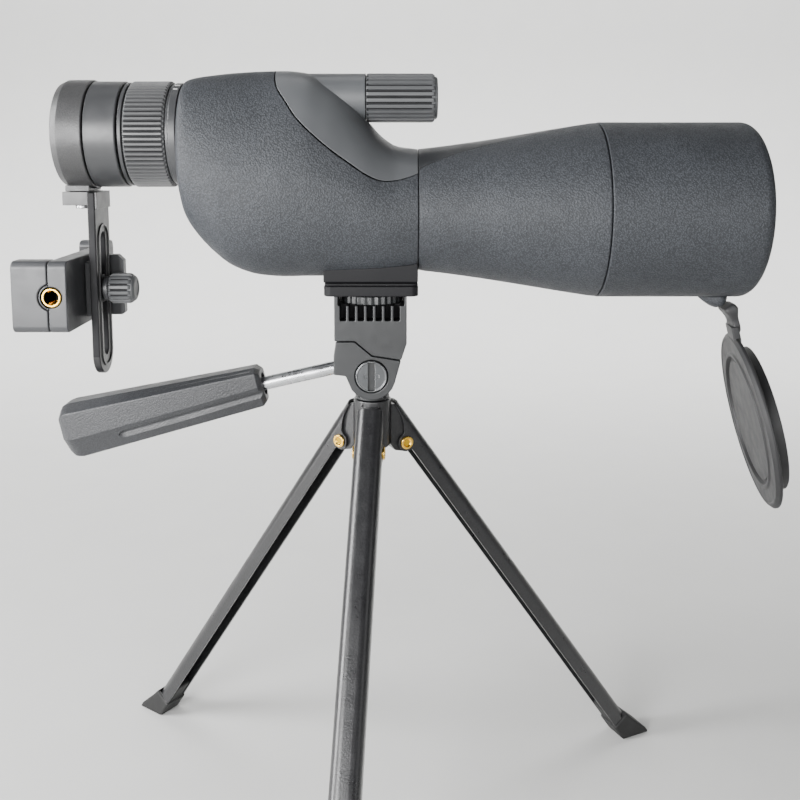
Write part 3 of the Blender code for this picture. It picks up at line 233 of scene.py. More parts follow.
def ribbed(radius, depth, ribs, share, sides):
    """A ring of ribs with rounded flanks; share is how much of each pitch is rib."""
    points = []
    count = ribs * sides
    for i in range(count):
        phase = abs((i / sides) % 1.0 - 0.5) * 2
        fall = clamp((phase - share) / FLANK)
        r = radius - depth * fall * fall * (3 - 2 * fall)
        angle = 2 * math.pi * i / count
        points.append((r * math.cos(angle), r * math.sin(angle)))
    return points


# ---------------------------------------------------------------- objects
def thing(name, work, place=Matrix.Identity(4)):
    """A mesh object whose points are in place, in metres."""
    mesh = bpy.data.meshes.new(name)
    work.to_mesh(mesh)
    work.free()
    mesh.transform(Matrix.Scale(MM, 4) @ place)
    made = bpy.data.objects.new(name, mesh)
    bpy.context.scene.collection.objects.link(made)
    return made


def settle(made):
    """Put the result of the modifiers into the mesh."""
    bpy.context.view_layer.update()
    seen = made.evaluated_get(bpy.context.evaluated_depsgraph_get())
    mesh = bpy.data.meshes.new_from_object(seen)
    made.modifiers.clear()
    made.data = mesh
    return made


def combine_with(made, operation, tool):
    """A boolean with another object, which is used up."""
    modifier = made.modifiers.new("tool", "BOOLEAN")
    modifier.operation = operation
    modifier.solver = "EXACT"
    modifier.object = tool
    settle(made)
    bpy.data.objects.remove(tool)


def combine(made, operation, work, place=Matrix.Identity(4)):
    """A boolean with a shape that is still in millimetres."""
    combine_with(made, operation, thing("tool", work, place))


def soften(made, width, angle=35, segments=3):
    """Round the edges that are sharper than an angle."""
    bevel = made.modifiers.new("rims", "BEVEL")
    bevel.width = width * MM
    bevel.segments = segments
    bevel.limit_method = "ANGLE"
    bevel.angle_limit = math.radians(angle)
    bevel.use_clamp_overlap = False
    bevel.miter_outer = "MITER_ARC"
    return settle(made)


def from_node(node, width, angle=35, segments=3):
    """A rounded copy of a CAD node, for shapes whose edges only lack their radii."""
    work = bmesh.new()
    work.from_mesh(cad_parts[node].data)
    bmesh.ops.remove_doubles(work, verts=work.verts, dist=1e-6)
    bmesh.ops.dissolve_limit(work, angle_limit=math.radians(0.8), verts=work.verts, edges=work.edges)
    bmesh.ops.recalc_face_normals(work, faces=work.faces)
    bmesh.ops.scale(work, vec=(1 / MM, 1 / MM, 1 / MM), verts=work.verts)
    return soften(thing(node + "_form", work), width, angle, segments)


def dress(made, body, finish, slot, *nodes, sharp=32):
    """Give a piece its finish and its body, and hide the CAD nodes that it stands for."""
    made.data.materials.clear()
    made.data.materials.append(FINISHES[finish])
    made.data.shade_smooth()
    made.data.set_sharp_from_angle(angle=math.radians(sharp))
    weigh = made.modifiers.new("normals", "WEIGHTED_NORMAL")
    weigh.keep_sharp = True
    settle(made)
    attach(made, body)
    if nodes:
        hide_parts(*nodes)
    return made


def turned(name, outline, steps, place, *looks):
    """A lathed piece with its looks; see dress for what they are."""
    return dress(thing(name, lathe(outline, steps), place), *looks)


def part_finish(made, finish, chosen, place=Matrix.Identity(4)):
    """Give a second finish to the faces whose centre, in mm in a frame, is chosen."""
    made.data.materials.append(FINISHES[finish])
    slot = len(made.data.materials) - 1
    into = place.inverted() @ Matrix.Scale(1 / MM, 4)
    for face in made.data.polygons:
        if chosen(into @ face.center):
            face.material_index = slot


# ---------------------------------------------------------------- materials
# The Mix node has its own sockets for each kind of value.
VECTOR_A, VECTOR_B, VECTOR_OUT = 4, 5, 1
COLOUR_A, COLOUR_B, COLOUR_OUT = 6, 7, 2


class Graph:
    """A material under construction."""

    def __init__(self, name):
        self.material = bpy.data.materials.new(name)
        self.material.use_nodes = True
        self.tree = self.material.node_tree
        self.shader = self.tree.nodes["Principled BSDF"]
        self.place = self.add("ShaderNodeTexCoord").outputs["Object"]

    def add(self, kind, **sockets):
        made = self.tree.nodes.new(kind)
        for key, value in sockets.items():
            made.inputs[key.replace("_", " ")].default_value = value
        return made

    def link(self, output, target):
        self.tree.links.new(output, target)

    def noise(self, size, detail=3.0, stretch=(1, 1, 1)):
        """Noise whose features are about size millimetres across."""
        mapping = self.add("ShaderNodeMapping", Scale=stretch)
        self.link(self.place, mapping.inputs["Vector"])
        made = self.add("ShaderNodeTexNoise", Scale=1 / (size * MM), Detail=detail, Roughness=0.55)
        self.link(mapping.outputs["Vector"], made.inputs["Vector"])
        return made.outputs["Fac"]

    def pebbles(self, size):
        made = self.add("ShaderNodeTexVoronoi", Scale=1 / (size * MM), Randomness=1.0)
        made.feature = "SMOOTH_F1"
        made.inputs["Smoothness"].default_value = 0.35
        wobble = self.add("ShaderNodeMix", Factor=0.00035)
        wobble.data_type = "VECTOR"
        made_noise = self.add("ShaderNodeTexNoise", Scale=1 / (1.6 * size * MM), Detail=2.0)
        self.link(self.place, made_noise.inputs["Vector"])
        self.link(self.place, wobble.inputs[VECTOR_A])
        self.link(made_noise.outputs["Color"], wobble.inputs[VECTOR_B])
        self.link(wobble.outputs[VECTOR_OUT], made.inputs["Vector"])
        return made.outputs["Distance"]

    def fit(self, value, low, high, out_low, out_high):
        made = self.add("ShaderNodeMapRange", From_Min=low, From_Max=high, To_Min=out_low, To_Max=out_high)
        self.link(value, made.inputs["Value"])
        return made.outputs["Result"]

    def mix(self, factor, first, second):
        made = self.add("ShaderNodeMix")
        made.data_type = "RGBA"
        self.link(factor, made.inputs[0])
        for socket, colour in ((made.inputs[COLOUR_A], first), (made.inputs[COLOUR_B], second)):
            if isinstance(colour, tuple):
                socket.default_value = (*colour, 1.0)
            else:
                self.link(colour, socket)
        return made.outputs[COLOUR_OUT]

    def multiply(self, colour, factor):
        made = self.add("ShaderNodeMix")
        made.data_type = "RGBA"
        made.blend_type = "MULTIPLY"
        made.inputs[0].default_value = 1.0
        self.link(colour, made.inputs[COLOUR_A])
        self.link(factor, made.inputs[COLOUR_B])
        return made.outputs[COLOUR_OUT]


def shaded(tone, factor):
    return tuple(channel * factor for channel in tone)


def finish(name, tone, rough, metallic=0.0, bumps=(), mottle=0.12, swing=0.06, edge=0.0, wear=0.0,
           worn_tone=None, specks=0.0, relief_shade_and_grain_tone=0.0, coat=0.0, specular=0.5):
    """A surface with broad and fine colour change, uneven gloss, relief and worn edges; the fine colour
    change paints shade into pebble hollows.
    """
    graph = Graph(name)
    shader = graph.shader
    shader.inputs["Metallic"].default_value = metallic
    shader.inputs["Coat Weight"].default_value = coat
    shader.inputs["Coat Roughness"].default_value = 0.25
    shader.inputs["Specular IOR Level"].default_value = specular
    broad = graph.fit(graph.noise(45), 0.35, 0.65, 0.0, 1.0)
    colour = graph.mix(broad, shaded(tone, 1 - mottle), shaded(tone, 1 + mottle))
    # Painted shade and light: with pebbles, the colour is darker in the hollows between them and lighter on
    # their tops; with noise it is a grain tone.
    if relief_shade_and_grain_tone:
        kind, size, _ = bumps[0]
        if kind == "pebble":
            grain = graph.fit(graph.pebbles(size), 0.12, 0.62, 1 + relief_shade_and_grain_tone, 1 - relief_shade_and_grain_tone)
        else:
            grain = graph.fit(graph.noise(size, 3.0), 0.35, 0.65, 1 - relief_shade_and_grain_tone, 1 + relief_shade_and_grain_tone)
        colour = graph.multiply(colour, grain)
    if specks:
        flecks = graph.fit(graph.noise(0.45, 2.0), 0.60, 0.72, 0.0, specks)
        colour = graph.mix(flecks, colour, shaded(tone, 4.0))
    normal = None
    if edge:
        bevel = graph.add("ShaderNodeBevel", Radius=edge * MM)
        bevel.samples = 6
        normal = bevel.outputs["Normal"]
        if wear:
            geometry = graph.add("ShaderNodeNewGeometry")
            dot = graph.add("ShaderNodeVectorMath")
            dot.operation = "DOT_PRODUCT"
            graph.link(normal, dot.inputs[0])
            graph.link(geometry.outputs["Normal"], dot.inputs[1])
            worn = graph.fit(dot.outputs["Value"], 0.995, 0.80, 0.0, wear)
            scuffs = graph.fit(graph.noise(2.5, 4.0), 0.35, 0.65, 0.35, 1.0)
            both = graph.add("ShaderNodeMath")
            both.operation = "MULTIPLY"
            graph.link(worn, both.inputs[0])
            graph.link(scuffs, both.inputs[1])
            colour = graph.mix(both.outputs[0], colour, worn_tone or shaded(tone, 3.0))
    graph.link(colour, shader.inputs["Base Color"])
    gloss = graph.fit(graph.noise(6, 4.0), 0.3, 0.7, rough - swing, rough + swing)
    graph.link(gloss, shader.inputs["Roughness"])
    for kind, size, depth in bumps:
        bump = graph.add("ShaderNodeBump", Strength=1.0, Distance=depth * MM)
        if kind == "pebble":
            bump.invert = True
            height = graph.pebbles(size)
        elif kind == "brush":
            height = graph.noise(size, 2.0, (0.03, 1, 1))
        else:
            height = graph.noise(size, 4.0)
        graph.link(height, bump.inputs["Height"])
        if normal is not None:
            graph.link(normal, bump.inputs["Normal"])
        normal = bump.outputs["Normal"]
    if normal is not None:
        graph.link(normal, shader.inputs["Normal"])
    return graph.material


def glass(name, tint, sheen):
    """Coated optical glass: dark, clear and very smooth, with a coloured edge-on glow."""
    graph = Graph(name)
    shader = graph.shader
    shader.inputs["Transmission Weight"].default_value = 0.75
    shader.inputs["IOR"].default_value = 1.52
    shader.inputs["Coat Weight"].default_value = 1.0
    shader.inputs["Coat Roughness"].default_value = 0.02
    weight = graph.add("ShaderNodeLayerWeight", Blend=0.35)
    clouds = graph.fit(graph.noise(18), 0.3, 0.7, 0.75, 1.0)
    facing = graph.add("ShaderNodeMath")
    facing.operation = "MULTIPLY"
    graph.link(weight.outputs["Facing"], facing.inputs[0])
    graph.link(clouds, facing.inputs[1])
    graph.link(graph.mix(facing.outputs[0], tint, sheen), shader.inputs["Base Color"])
    graph.link(graph.fit(graph.noise(4), 0.3, 0.7, 0.01, 0.04), shader.inputs["Roughness"])
    return graph.material


GREY = (0.033, 0.0358, 0.0408)
FINISHES = {
    "armour": finish("armour_rubber", GREY, 0.56, bumps=(("pebble", 0.7, 0.15), ("grain", 0.3, 0.05)),
                     relief_shade_and_grain_tone=0.36, edge=0.5, specular=0.3),
    "blade": finish("satin_blade", (0.020, 0.021, 0.023), 0.42, bumps=(("grain", 0.5, 0.006),), edge=0.3,
                    wear=0.25, specular=0.35),
    "saddle": finish("satin_shell", (0.066, 0.069, 0.073), 0.42, bumps=(("grain", 0.5, 0.006),),
                     edge=0.45, wear=0.25),
    "ring": finish("satin_ring", (0.034, 0.035, 0.037), 0.38, bumps=(("grain", 0.25, 0.012),),
                   edge=0.3, wear=0.2),
    "collar": finish("speckled_collar", (0.036, 0.036, 0.037), 0.40,
                     bumps=(("pebble", 0.55, 0.05), ("grain", 0.2, 0.02)), relief_shade_and_grain_tone=0.2, specks=0.10,
                     edge=0.4),
    "knurl": finish("knurled_rubber", (0.060, 0.061, 0.063), 0.46, bumps=(("grain", 0.2, 0.012),), edge=0.12),
    "knob": finish("ribbed_rubber", (0.062, 0.064, 0.067), 0.48, bumps=(("grain", 0.22, 0.012),), edge=0.2),
    "inner": finish("inner_black", (0.007, 0.007, 0.008), 0.75, bumps=(("grain", 0.3, 0.02),), specular=0.25),
    "plastic": finish("moulded_plastic", (0.036, 0.037, 0.040), 0.40, bumps=(("grain", 0.35, 0.012),),
                      specks=0.06, edge=0.35, wear=0.35),
    "deck": finish("dark_plate", (0.008, 0.008, 0.009), 0.46, bumps=(("grain", 0.4, 0.02),), edge=0.35,
                   wear=0.3, worn_tone=(0.06, 0.06, 0.065), specular=0.15),
    "head": finish("satin_plastic", (0.016, 0.017, 0.018), 0.36,
                   bumps=(("grain", 1.6, 0.02), ("grain", 0.25, 0.008)), edge=0.35, wear=0.4),
    "arm": finish("black_sheet", (0.008, 0.008, 0.009), 0.36, bumps=(("grain", 0.4, 0.02),), specks=0.05,
                  edge=0.3, wear=0.55, worn_tone=(0.16, 0.16, 0.16)),
    "leg": finish("leg_enamel", (0.010, 0.010, 0.011), 0.33, bumps=(("grain", 0.8, 0.08),), specks=0.16,
                  relief_shade_and_grain_tone=0.35, edge=0.35, wear=0.45, worn_tone=(0.10, 0.10, 0.105), coat=0.3),
    "shoe": finish("shoe_rubber", (0.006, 0.006, 0.006), 0.66, bumps=(("grain", 0.4, 0.03),), edge=0.5,
                   wear=0.4, worn_tone=(0.10, 0.10, 0.10)),
    "grip": finish("grip_plastic", (0.028, 0.029, 0.032), 0.42,
                   bumps=(("pebble", 0.7, 0.08), ("grain", 0.25, 0.03)), relief_shade_and_grain_tone=0.25, specks=0.10,
                   edge=0.5, wear=0.35),
    "cap": finish("cap_rubber", (0.010, 0.010, 0.011), 0.56, bumps=(("grain", 0.3, 0.012),), edge=0.4,
                  wear=0.2),
    "strap": finish("strap_rubber", (0.016, 0.016, 0.017), 0.55, bumps=(("grain", 0.35, 0.02),), edge=0.4),
    "pad": finish("pad_rubber", (0.030, 0.030, 0.031), 0.75, bumps=(("pebble", 1.1, 0.10),), edge=0.3),
    "zinc": finish("bright_zinc", (0.66, 0.67, 0.69), 0.27, metallic=1.0, bumps=(("brush", 0.25, 0.008),),
                   mottle=0.08, swing=0.08, edge=0.2),
    "steel": finish("plain_steel", (0.50, 0.50, 0.51), 0.32, metallic=1.0, bumps=(("grain", 0.3, 0.006),),
                    mottle=0.1, edge=0.2),
    "brass": finish("bright_brass", (0.93, 0.58, 0.10), 0.26, metallic=1.0, bumps=(("grain", 0.3, 0.006),),
                    mottle=0.12, edge=0.15, wear=0.35, worn_tone=(1.0, 0.86, 0.40)),
    # The rivet's middle is painted dull and dark, as shade in the dimple of its head.
    "core": finish("rivet_core", (0.37, 0.23, 0.01), 0.60, metallic=0.35, bumps=(("grain", 0.3, 0.01),),
                   mottle=0.2, specular=0.2),
    "anodised": finish("black_anodised", (0.045, 0.045, 0.048), 0.36, metallic=0.8,
                       bumps=(("brush", 0.2, 0.006),), edge=0.2),
    "bolt": finish("dark_bolt", (0.10, 0.104, 0.108), 0.32, metallic=0.85, bumps=(("brush", 0.3, 0.01),),
                   edge=0.35, wear=0.7, worn_tone=(0.5, 0.5, 0.5)),
    "ink": finish("white_ink", (0.62, 0.62, 0.62), 0.55, bumps=(("grain", 0.15, 0.01),)),
    "lens": glass("coated_lens", (0.32, 0.42, 0.40), (0.20, 0.14, 0.40)),
    "prism": glass("prism_glass", (0.72, 0.80, 0.80), (0.40, 0.52, 0.56)),
}


# ---------------------------------------------------------------- optical tube
HOOD_R, HOOD_BORE = 37.5, 33.3
CONE_R, CONE_BACK, CONE_FRONT = 26.1, 7.7, 83.9
BAFFLE_RIDGES, BAFFLE_PITCH = 18, 3


def make_hood():
    lip = arc((HOOD_R - 5.0, 144.6), 5.0, 90, 0, 12)
    outline = lip + fillet([(HOOD_R, 100), (HOOD_R, 84.2), (34.9, 84.2), (34.9, 100)], 0.55)[5:-5]
    outline += [(34.9, 92.4), (HOOD_BORE, 92.4), (HOOD_BORE, 148.6), (33.6, 149.4)]
    hood = thing("hood_shell", lathe(outline, 192), SCOPE @ ALONG_X)
    dress(hood, "scope", "armour", "armour", "objective_hood")
    baffle = [(HOOD_BORE, 92.5), (HOOD_BORE, 147.6)]
    for i in range(BAFFLE_RIDGES):
        z = 147.6 - BAFFLE_PITCH * i
        baffle += [(32.5, z), (32.5, z - 0.8), (33.0, z - 2.6)]
    baffle.append((32.5, 92.5))
    turned("hood_baffle", baffle, 160, SCOPE @ ALONG_X, "scope", "inner", "inner_black")


def cone_line(count=26):
    """The cone's outer line from back to front, with its slight flare."""
    points = []
    for i in range(count):
        share = i / (count - 1)
        flare = 0.9 * math.sin(math.pi * share)
        points.append((CONE_R + (HOOD_R - CONE_R) * share - flare * (1 - share),
                       CONE_BACK + (CONE_FRONT - CONE_BACK) * share))
    return points


def leaf(shrink):
    """The blade's plan: wide at the back, pointed at the front."""
    back, length = CONE_BACK - 1 + shrink, 70 - 2 * shrink
    side = []
    for i in range(41):
        share = i / 40
        half = (19.4 - shrink) * (1 - share) ** 0.62 * (1 - 0.2 * math.sin(math.pi * share))
        side.append((back + length * share, max(half, 0.0)))
    return plate([side + [(x, -y) for x, y in reversed(side[:-1])]], 0, 60)


def make_cone():
    line = cone_line()
    outer = [(25.6, CONE_BACK + 0.02), (25.95, CONE_BACK + 0.2)] + line[1:-1]
    outer += [(HOOD_R - 0.25, CONE_FRONT - 0.6), (HOOD_R - 0.5, CONE_FRONT - 0.15),
              (HOOD_R - 0.9, CONE_FRONT)]
    inner = [(34.6, CONE_FRONT), (34.6, 92.1), (31.9, 92.1), (31.9, 79.7), (30.2, 79.7), (20.8, 10),
             (20.8, 0.6), (23.3, 0.6), (23.3, CONE_BACK)]
    cone = thing("cone_shell", lathe(outer + inner, 160), SCOPE @ ALONG_X)
    band = [(r - 1.3, x) for r, x in line] + [(r + 3, x) for r, x in reversed(line)]
    pocket = thing("pocket", lathe(band, 160), SCOPE @ ALONG_X)
    combine(pocket, "INTERSECT", leaf(0.0), SCOPE)
    combine_with(cone, "DIFFERENCE", pocket)
    dress(cone, "scope", "armour", "armour", "barrel_cone")
    band = [(r - 1.0, x) for r, x in line] + list(reversed(line))
    blade = thing("blade_inlay", lathe(band, 160), SCOPE @ ALONG_X)
    combine(blade, "INTERSECT", leaf(0.55), SCOPE)
    dress(blade, "scope", "blade", "smooth_shell", "barrel_blade")


def bulge(radius, rim, rise, steps):
    """A lens face, from its middle to its rim."""
    return [(radius * i / steps, rim + rise * (1 - (i / steps) ** 2)) for i in range(steps + 1)]


def make_objective():
    cell = fillet([(31.5, 95), (31.5, 80), (27.5, 80), (27.5, 83), (30.3, 83), (30.3, 95)], 0.3)
    turned("lens_cell", cell, 128, SCOPE @ ALONG_X, "scope", "inner", "inner_black", "objective_cell")
    lens = bulge(30, 88.6, 3.0, 24) + [(30.0, 83.3), (0, 83.3)]
    turned("front_lens", lens, 128, SCOPE @ ALONG_X, "scope", "lens", "coated_glass", "objective_lens")
    outline = fillet([(30.0, 92.4), (30.0, 89.9), (27.6, 89.9), (27.6, 92.4)], 0.3)
    ring = thing("lens_ring", lathe(outline, 128), SCOPE @ ALONG_X)
    for side in (-1, 1):
        combine(ring, "DIFFERENCE", block((-1.2, side * 29 - 1.6, 91.3), (1.2, side * 29 + 1.6, 93)),
                SCOPE @ ALONG_X)
    dress(ring, "scope", "anodised", "inner_black", "lens_retaining_ring")


# ---------------------------------------------------------------- prism housing
# Stations along X: place, underside, top and half width.
STATIONS = (
    (-91.2, 1.0, 53.0, 22.8), (-89.8, -4.2, 54.9, 25.2), (-86.0, -10.4, 56.1, 26.8),
    (-80.0, -17.2, 57.0, 28.0), (-71.0, -24.2, 58.0, 29.2), (-60.0, -27.8, 58.7, 30.0),
    (-49.0, -28.6, 59.0, 30.3), (-39.8, -28.4, 58.2, 30.2), (-31.0, -28.4, 54.2, 29.8),
    (-22.0, -28.2, 47.4, 29.0), (-14.0, -27.8, 38.4, 28.2), (-8.0, -27.4, 31.6, 27.5),
    (-1.0, -26.8, 27.2, 26.8), (7.4, -26.1, 26.1, 26.1),
)
HOUSING_BACK, HOUSING_FRONT = STATIONS[0][0], STATIONS[-1][0]
TUBE_BORE, OCULAR_BORE, SPINDLE_BORE = 23.65, 17.3, 2.8
# The seam between the housing and its saddle, along X and Z.
SEAM = (
    (-52.3, 57.0), (-50.8, 51.0), (-47.3, 45.8), (-42.5, 38.8), (-35.7, 32.0), (-28.4, 25.8),
    (-21.2, 20.6), (-15.5, 16.6), (-10.4, 13.9), (-6.0, 13.0), (-1.7, 13.3), (2.6, 14.3), (12.0, 17.6),
)


def section(x, inset, count):
    """The housing's outline at x: a superellipse that narrows towards its top."""
    places = [station[0] for station in STATIONS]
    low, high, half = (monotone(places, [station[k] for station in STATIONS], x) for k in (1, 2, 3))
    low, high, half = low + inset, high - inset, half - inset
    power = 2.0 + 0.35 * clamp((HOUSING_FRONT - x) / 45)
    narrow = clamp((HOUSING_FRONT - x) / 40)
    tail = clamp((x - HOUSING_BACK) / 35)
    taper = 0.24 * narrow * (0.35 + 0.65 * tail)
    ring = []
    for i in range(count):
        angle = 2 * math.pi * i / count
        across, up = math.cos(angle), math.sin(angle)
        across = math.copysign(abs(across) ** (2 / power), across)
        up = math.copysign(abs(up) ** (2 / power), up)
        ring.append((x, half * across * (1 - taper * max(up, 0.0)), (low + high) / 2 + (high - low) / 2 * up))
    return ring


def housing_form(inset=0.0):
    places = [HOUSING_BACK, -90.9, -90.5, -90.0, -89.4, -88.7, -87.8, -86.6, -85.0]
    places += [-83 + 2.5 * i for i in range(36)] + [6.2, HOUSING_FRONT]
    return skin([section(x, inset, 96) for x in places])


def housing_hollow():
    places = [-88.2, -86, -80, -71, -60, -49, -39.8, -31, -22, -14, -8, -1]
    rings = [section(max(x, -87.5), 2.5, 24) for x in places]
    rings[0] = [(-88.7, y, z) for _, y, z in rings[0]]
    return skin(rings)


def seam_plate(gap):
    line = smooth_line([(-52.3, 66.0)] + list(SEAM)) + [(12.0, 66.0)]
    outline = [(x + gap, z + gap) for x, z in line]
    return plate([outline], -40, 40)


def make_housing():
    body = thing("housing_shell", housing_form(), SCOPE)
    top = thing("saddle_shell", housing_form(), SCOPE)
    for made in (body, top):
        combine(made, "DIFFERENCE", housing_hollow(), SCOPE)
    combine(body, "DIFFERENCE", seam_plate(0.0), SCOPE @ UPRIGHT)
    combine(top, "INTERSECT", seam_plate(0.42), SCOPE @ UPRIGHT)
    for made in (body, top):
        combine(made, "DIFFERENCE", rod(TUBE_BORE, -6, 10, 96), SCOPE @ ALONG_X)
    combine(body, "DIFFERENCE", rod(OCULAR_BORE, -95, -80, 64), EYE @ ALONG_X)
    combine(body, "DIFFERENCE", rod(5.3, -35, -20), HEAD)
    combine(top, "UNION", rod(10.3, -47, -14.6, 96), FOCUS @ ALONG_X)
    combine(top, "DIFFERENCE", rod(11.05, -14.6, 25, 96), FOCUS @ ALONG_X)
    combine(top, "DIFFERENCE", rod(SPINDLE_BORE, -60, 0, 32), FOCUS @ ALONG_X)
    dress(body, "scope", "armour", "armour", "prism_housing", sharp=40)
    dress(top, "scope", "saddle", "smooth_shell", "saddle_cover", sharp=40)


def make_foot():
    dress(from_node("tripod_foot", 0.5), "scope", "deck", "armour", "tripod_foot")
    bush = fillet([(5.0, -22), (5.0, -29.6), (3.4, -29.6), (3.4, -22)], 0.3)
    turned("mount_bush", bush, 48, HEAD, "scope", "brass", "brass", "foot_bush")


# ---------------------------------------------------------------- focus wheel and eyepiece
def paint_groove_shade(made, inner, outer, low, high, place):
    """Painted shade: a dark finish on the grooves of a ribbed piece that turns about local Z, darkening them
    as shade would.
    """
    def chosen(spot):
        return inner < math.hypot(spot.x, spot.y) < outer and low < spot.z < high
    part_finish(made, "inner", chosen, place)


def make_focus():
    rings = []
    for x, radius in ((-14.3, 9.7), (-13.9, 10.15), (-13.2, 10.35),
                      (13.4, 10.35), (14.2, 10.1), (14.7, 9.5)):
        depth = 0.95 if radius > 9.8 else 0.3
        rings.append([(a, b, x) for a, b in ribbed(radius, depth, 24, 0.48, 12)])
    knob = thing("focus_wheel", skin(rings), FOCUS @ ALONG_X)
    end = [(0, 14.0), (9.0, 14.0), (9.0, 15.2), (8.7, 15.7), (8.1, 16.0), (6.4, 16.0), (6.1, 15.6), (0, 15.6)]
    combine(knob, "UNION", lathe(end, 96), FOCUS @ ALONG_X)
    combine(knob, "DIFFERENCE", rod(SPINDLE_BORE, -30, 6, 32), FOCUS @ ALONG_X)
    dress(knob, "focus_wheel", "knob", "soft_rubber", "focus_knob")
    # The knob's grooves are painted dark as shade.
    paint_groove_shade(knob, 9.0, 9.85, -13.8, 13.8, FOCUS @ ALONG_X)
    shaft = fillet([(2.5, 5), (2.5, -62), (0, -62), (0, 5)], 0.3)
    turned("focus_spindle", shaft, 48, FOCUS @ ALONG_X, "focus_wheel", "steel", "bright_steel",
           "focus_shaft")


KNURLS, KNURL_SIDES = 66, 10


def make_eyepiece():
    barrel = [(17.0, -85), (17.0, -113.4), (21.4, -113.4), (21.9, -113.7), (21.9, -114.9), (21.4, -115.2),
              (15.5, -115.2), (15.5, -132), (14.0, -132), (14.0, -85)]
    turned("ocular_barrel", barrel, 128, EYE @ ALONG_X, "scope", "ring", "matte_ring", "eyepiece_barrel")
    scale = fillet([(21.7, -91.5), (21.7, -94.4), (21.2, -94.7), (21.2, -95.8),
                    (OCULAR_BORE, -95.8), (OCULAR_BORE, -91.5)], 0.35)
    turned("scale_band", scale, 160, EYE @ ALONG_X, "scope", "ring", "smooth_shell", "scale_ring")
    for i, degrees in enumerate((21, 31)):
        mark = block((-94.1, -0.3, 21.5), (-91.9 - 0.4 * i, 0.3, 21.73))
        dress(thing("index_mark_%d" % (i + 1), mark, EYE @ turn(degrees, "X")), "scope", "ink",
              "smooth_shell")

    rings = []
    for x, radius, depth in (
        (-113.1, 21.3, 0.0), (-112.9, 21.5, 0.1), (-112.5, 22.2, 0.7), (-112.2, 22.4, 0.9),
        (-97.0, 22.4, 0.9), (-96.7, 22.2, 0.7), (-96.3, 21.5, 0.1), (-96.1, 21.3, 0.0),
    ):
        rings.append([(a, b, x) for a, b in ribbed(radius, depth, KNURLS, 0.42, KNURL_SIDES)])
    for x in (-96.1, -113.1):
        rings.append([(a, b, x) for a, b in circle(OCULAR_BORE, KNURLS * KNURL_SIDES)])
    ring = thing("knurled_ring", skin(rings, loop=True), EYE @ ALONG_X)
    dress(ring, "zoom_collar", "knurl", "soft_rubber", "zoom_ring")
    # The ring's grooves are painted dark as shade.
    paint_groove_shade(ring, 0.0, 21.85, -112.4, -96.8, EYE @ ALONG_X)

    cup = fillet([
        (22.1, -115.8), (22.4, -116.3), (22.4, -128.9), (20.3, -128.9), (20.3, -139.5), (13.0, -139.5),
        (13.0, -137.6), (17.6, -137.6), (17.6, -131.0), (15.8, -131.0), (15.8, -117.0), (20.0, -115.8),
    ], 0.4)
    turned("eyecup_shell", cup, 160, EYE @ ALONG_X, "eye_cup", "ring", "soft_rubber", "eyecup")
    eye = bulge(13.7, -128.6, 2.6, 12) + [(13.7, -131), (0, -131)]
    turned("eye_glass", eye, 96, EYE @ ALONG_X, "scope", "lens", "coated_glass", "eye_lens")


# ---------------------------------------------------------------- phone adapter
ARM_SCREW = EYE @ shift(-137, 0, 0)
ARM_SCREW_BORE, ARM_HALF = 1.8, 9.8
THUMB = CLAMP @ shift(-121.1, 0, 0) @ ALONG_X


def make_adapter():
    collar = fillet([(23.0, -129.4), (23.0, -139.6), (21.6, -142.6), (12.0, -142.6), (12.0, -140.6),
                     (20.6, -140.6), (20.6, -129.4)], 0.6)
    ring = thing("collar_shell", lathe(collar, 160), EYE @ ALONG_X)
    combine(ring, "UNION", block((-141.6, -8, -23.9), (-131.6, 8, -21.5)), EYE)
    combine(ring, "DIFFERENCE", rod(ARM_SCREW_BORE, -35, -22.6, 24), ARM_SCREW)
    dress(ring, "adapter", "collar", "matte_ring", "adapter_collar")

    top, low = 8.0 - EYE_UP, -71.7 - EYE_UP
    round_at = low + ARM_HALF
    outline = fillet([(ARM_HALF, top), (-ARM_HALF, top), (-ARM_HALF, round_at), (ARM_HALF, round_at)], 0.8)
    outline = outline[:10] + arc((0, round_at), ARM_HALF, 180, 360, 33)
    slot = stadium(3.1, low + 8.5, -42.1)
    arm = thing("arm_plate", plate([outline, slot], -132.1, -128.9, 0.5), EYE @ FACING_X)
    combine(arm, "UNION", block((-142.6, -9.2, -29.8), (-131.1, 9.2, -24.2)), EYE)
    combine(arm, "UNION", block((-129.9, -9.3, -31.5), (-128.1, 9.3, -24.4)), EYE)
    rim = [stadium(7.15, low + 3.2, -38.0), stadium(6.0, low + 4.35, -39.15)]
    combine(arm, "UNION", plate(rim, -129.6, -128.35, 0.2), EYE @ FACING_X)
    combine(arm, "DIFFERENCE", rod(ARM_SCREW_BORE, -35, -22.6, 24), ARM_SCREW)
    dress(arm, "adapter", "arm", "painted_sheet", "adapter_arm")
    part_finish(arm, "inner", lambda spot: abs(spot.y) < 3.3 and low + 8 < spot.z < -41, EYE)
    part_finish(arm, "deck", lambda spot: abs(spot.y) > 9.7 and low + 9 < spot.z, EYE)
    screw = fillet([(0, -22.9), (1.5, -22.9), (1.5, -30.1), (3.0, -30.1), (3.0, -31.6), (0, -31.6)], 0.3)
    turned("arm_bolt", screw, 48, ARM_SCREW, "adapter", "steel", "bright_steel", "arm_screw")


THREADS, THREAD_PITCH = 9, 0.9


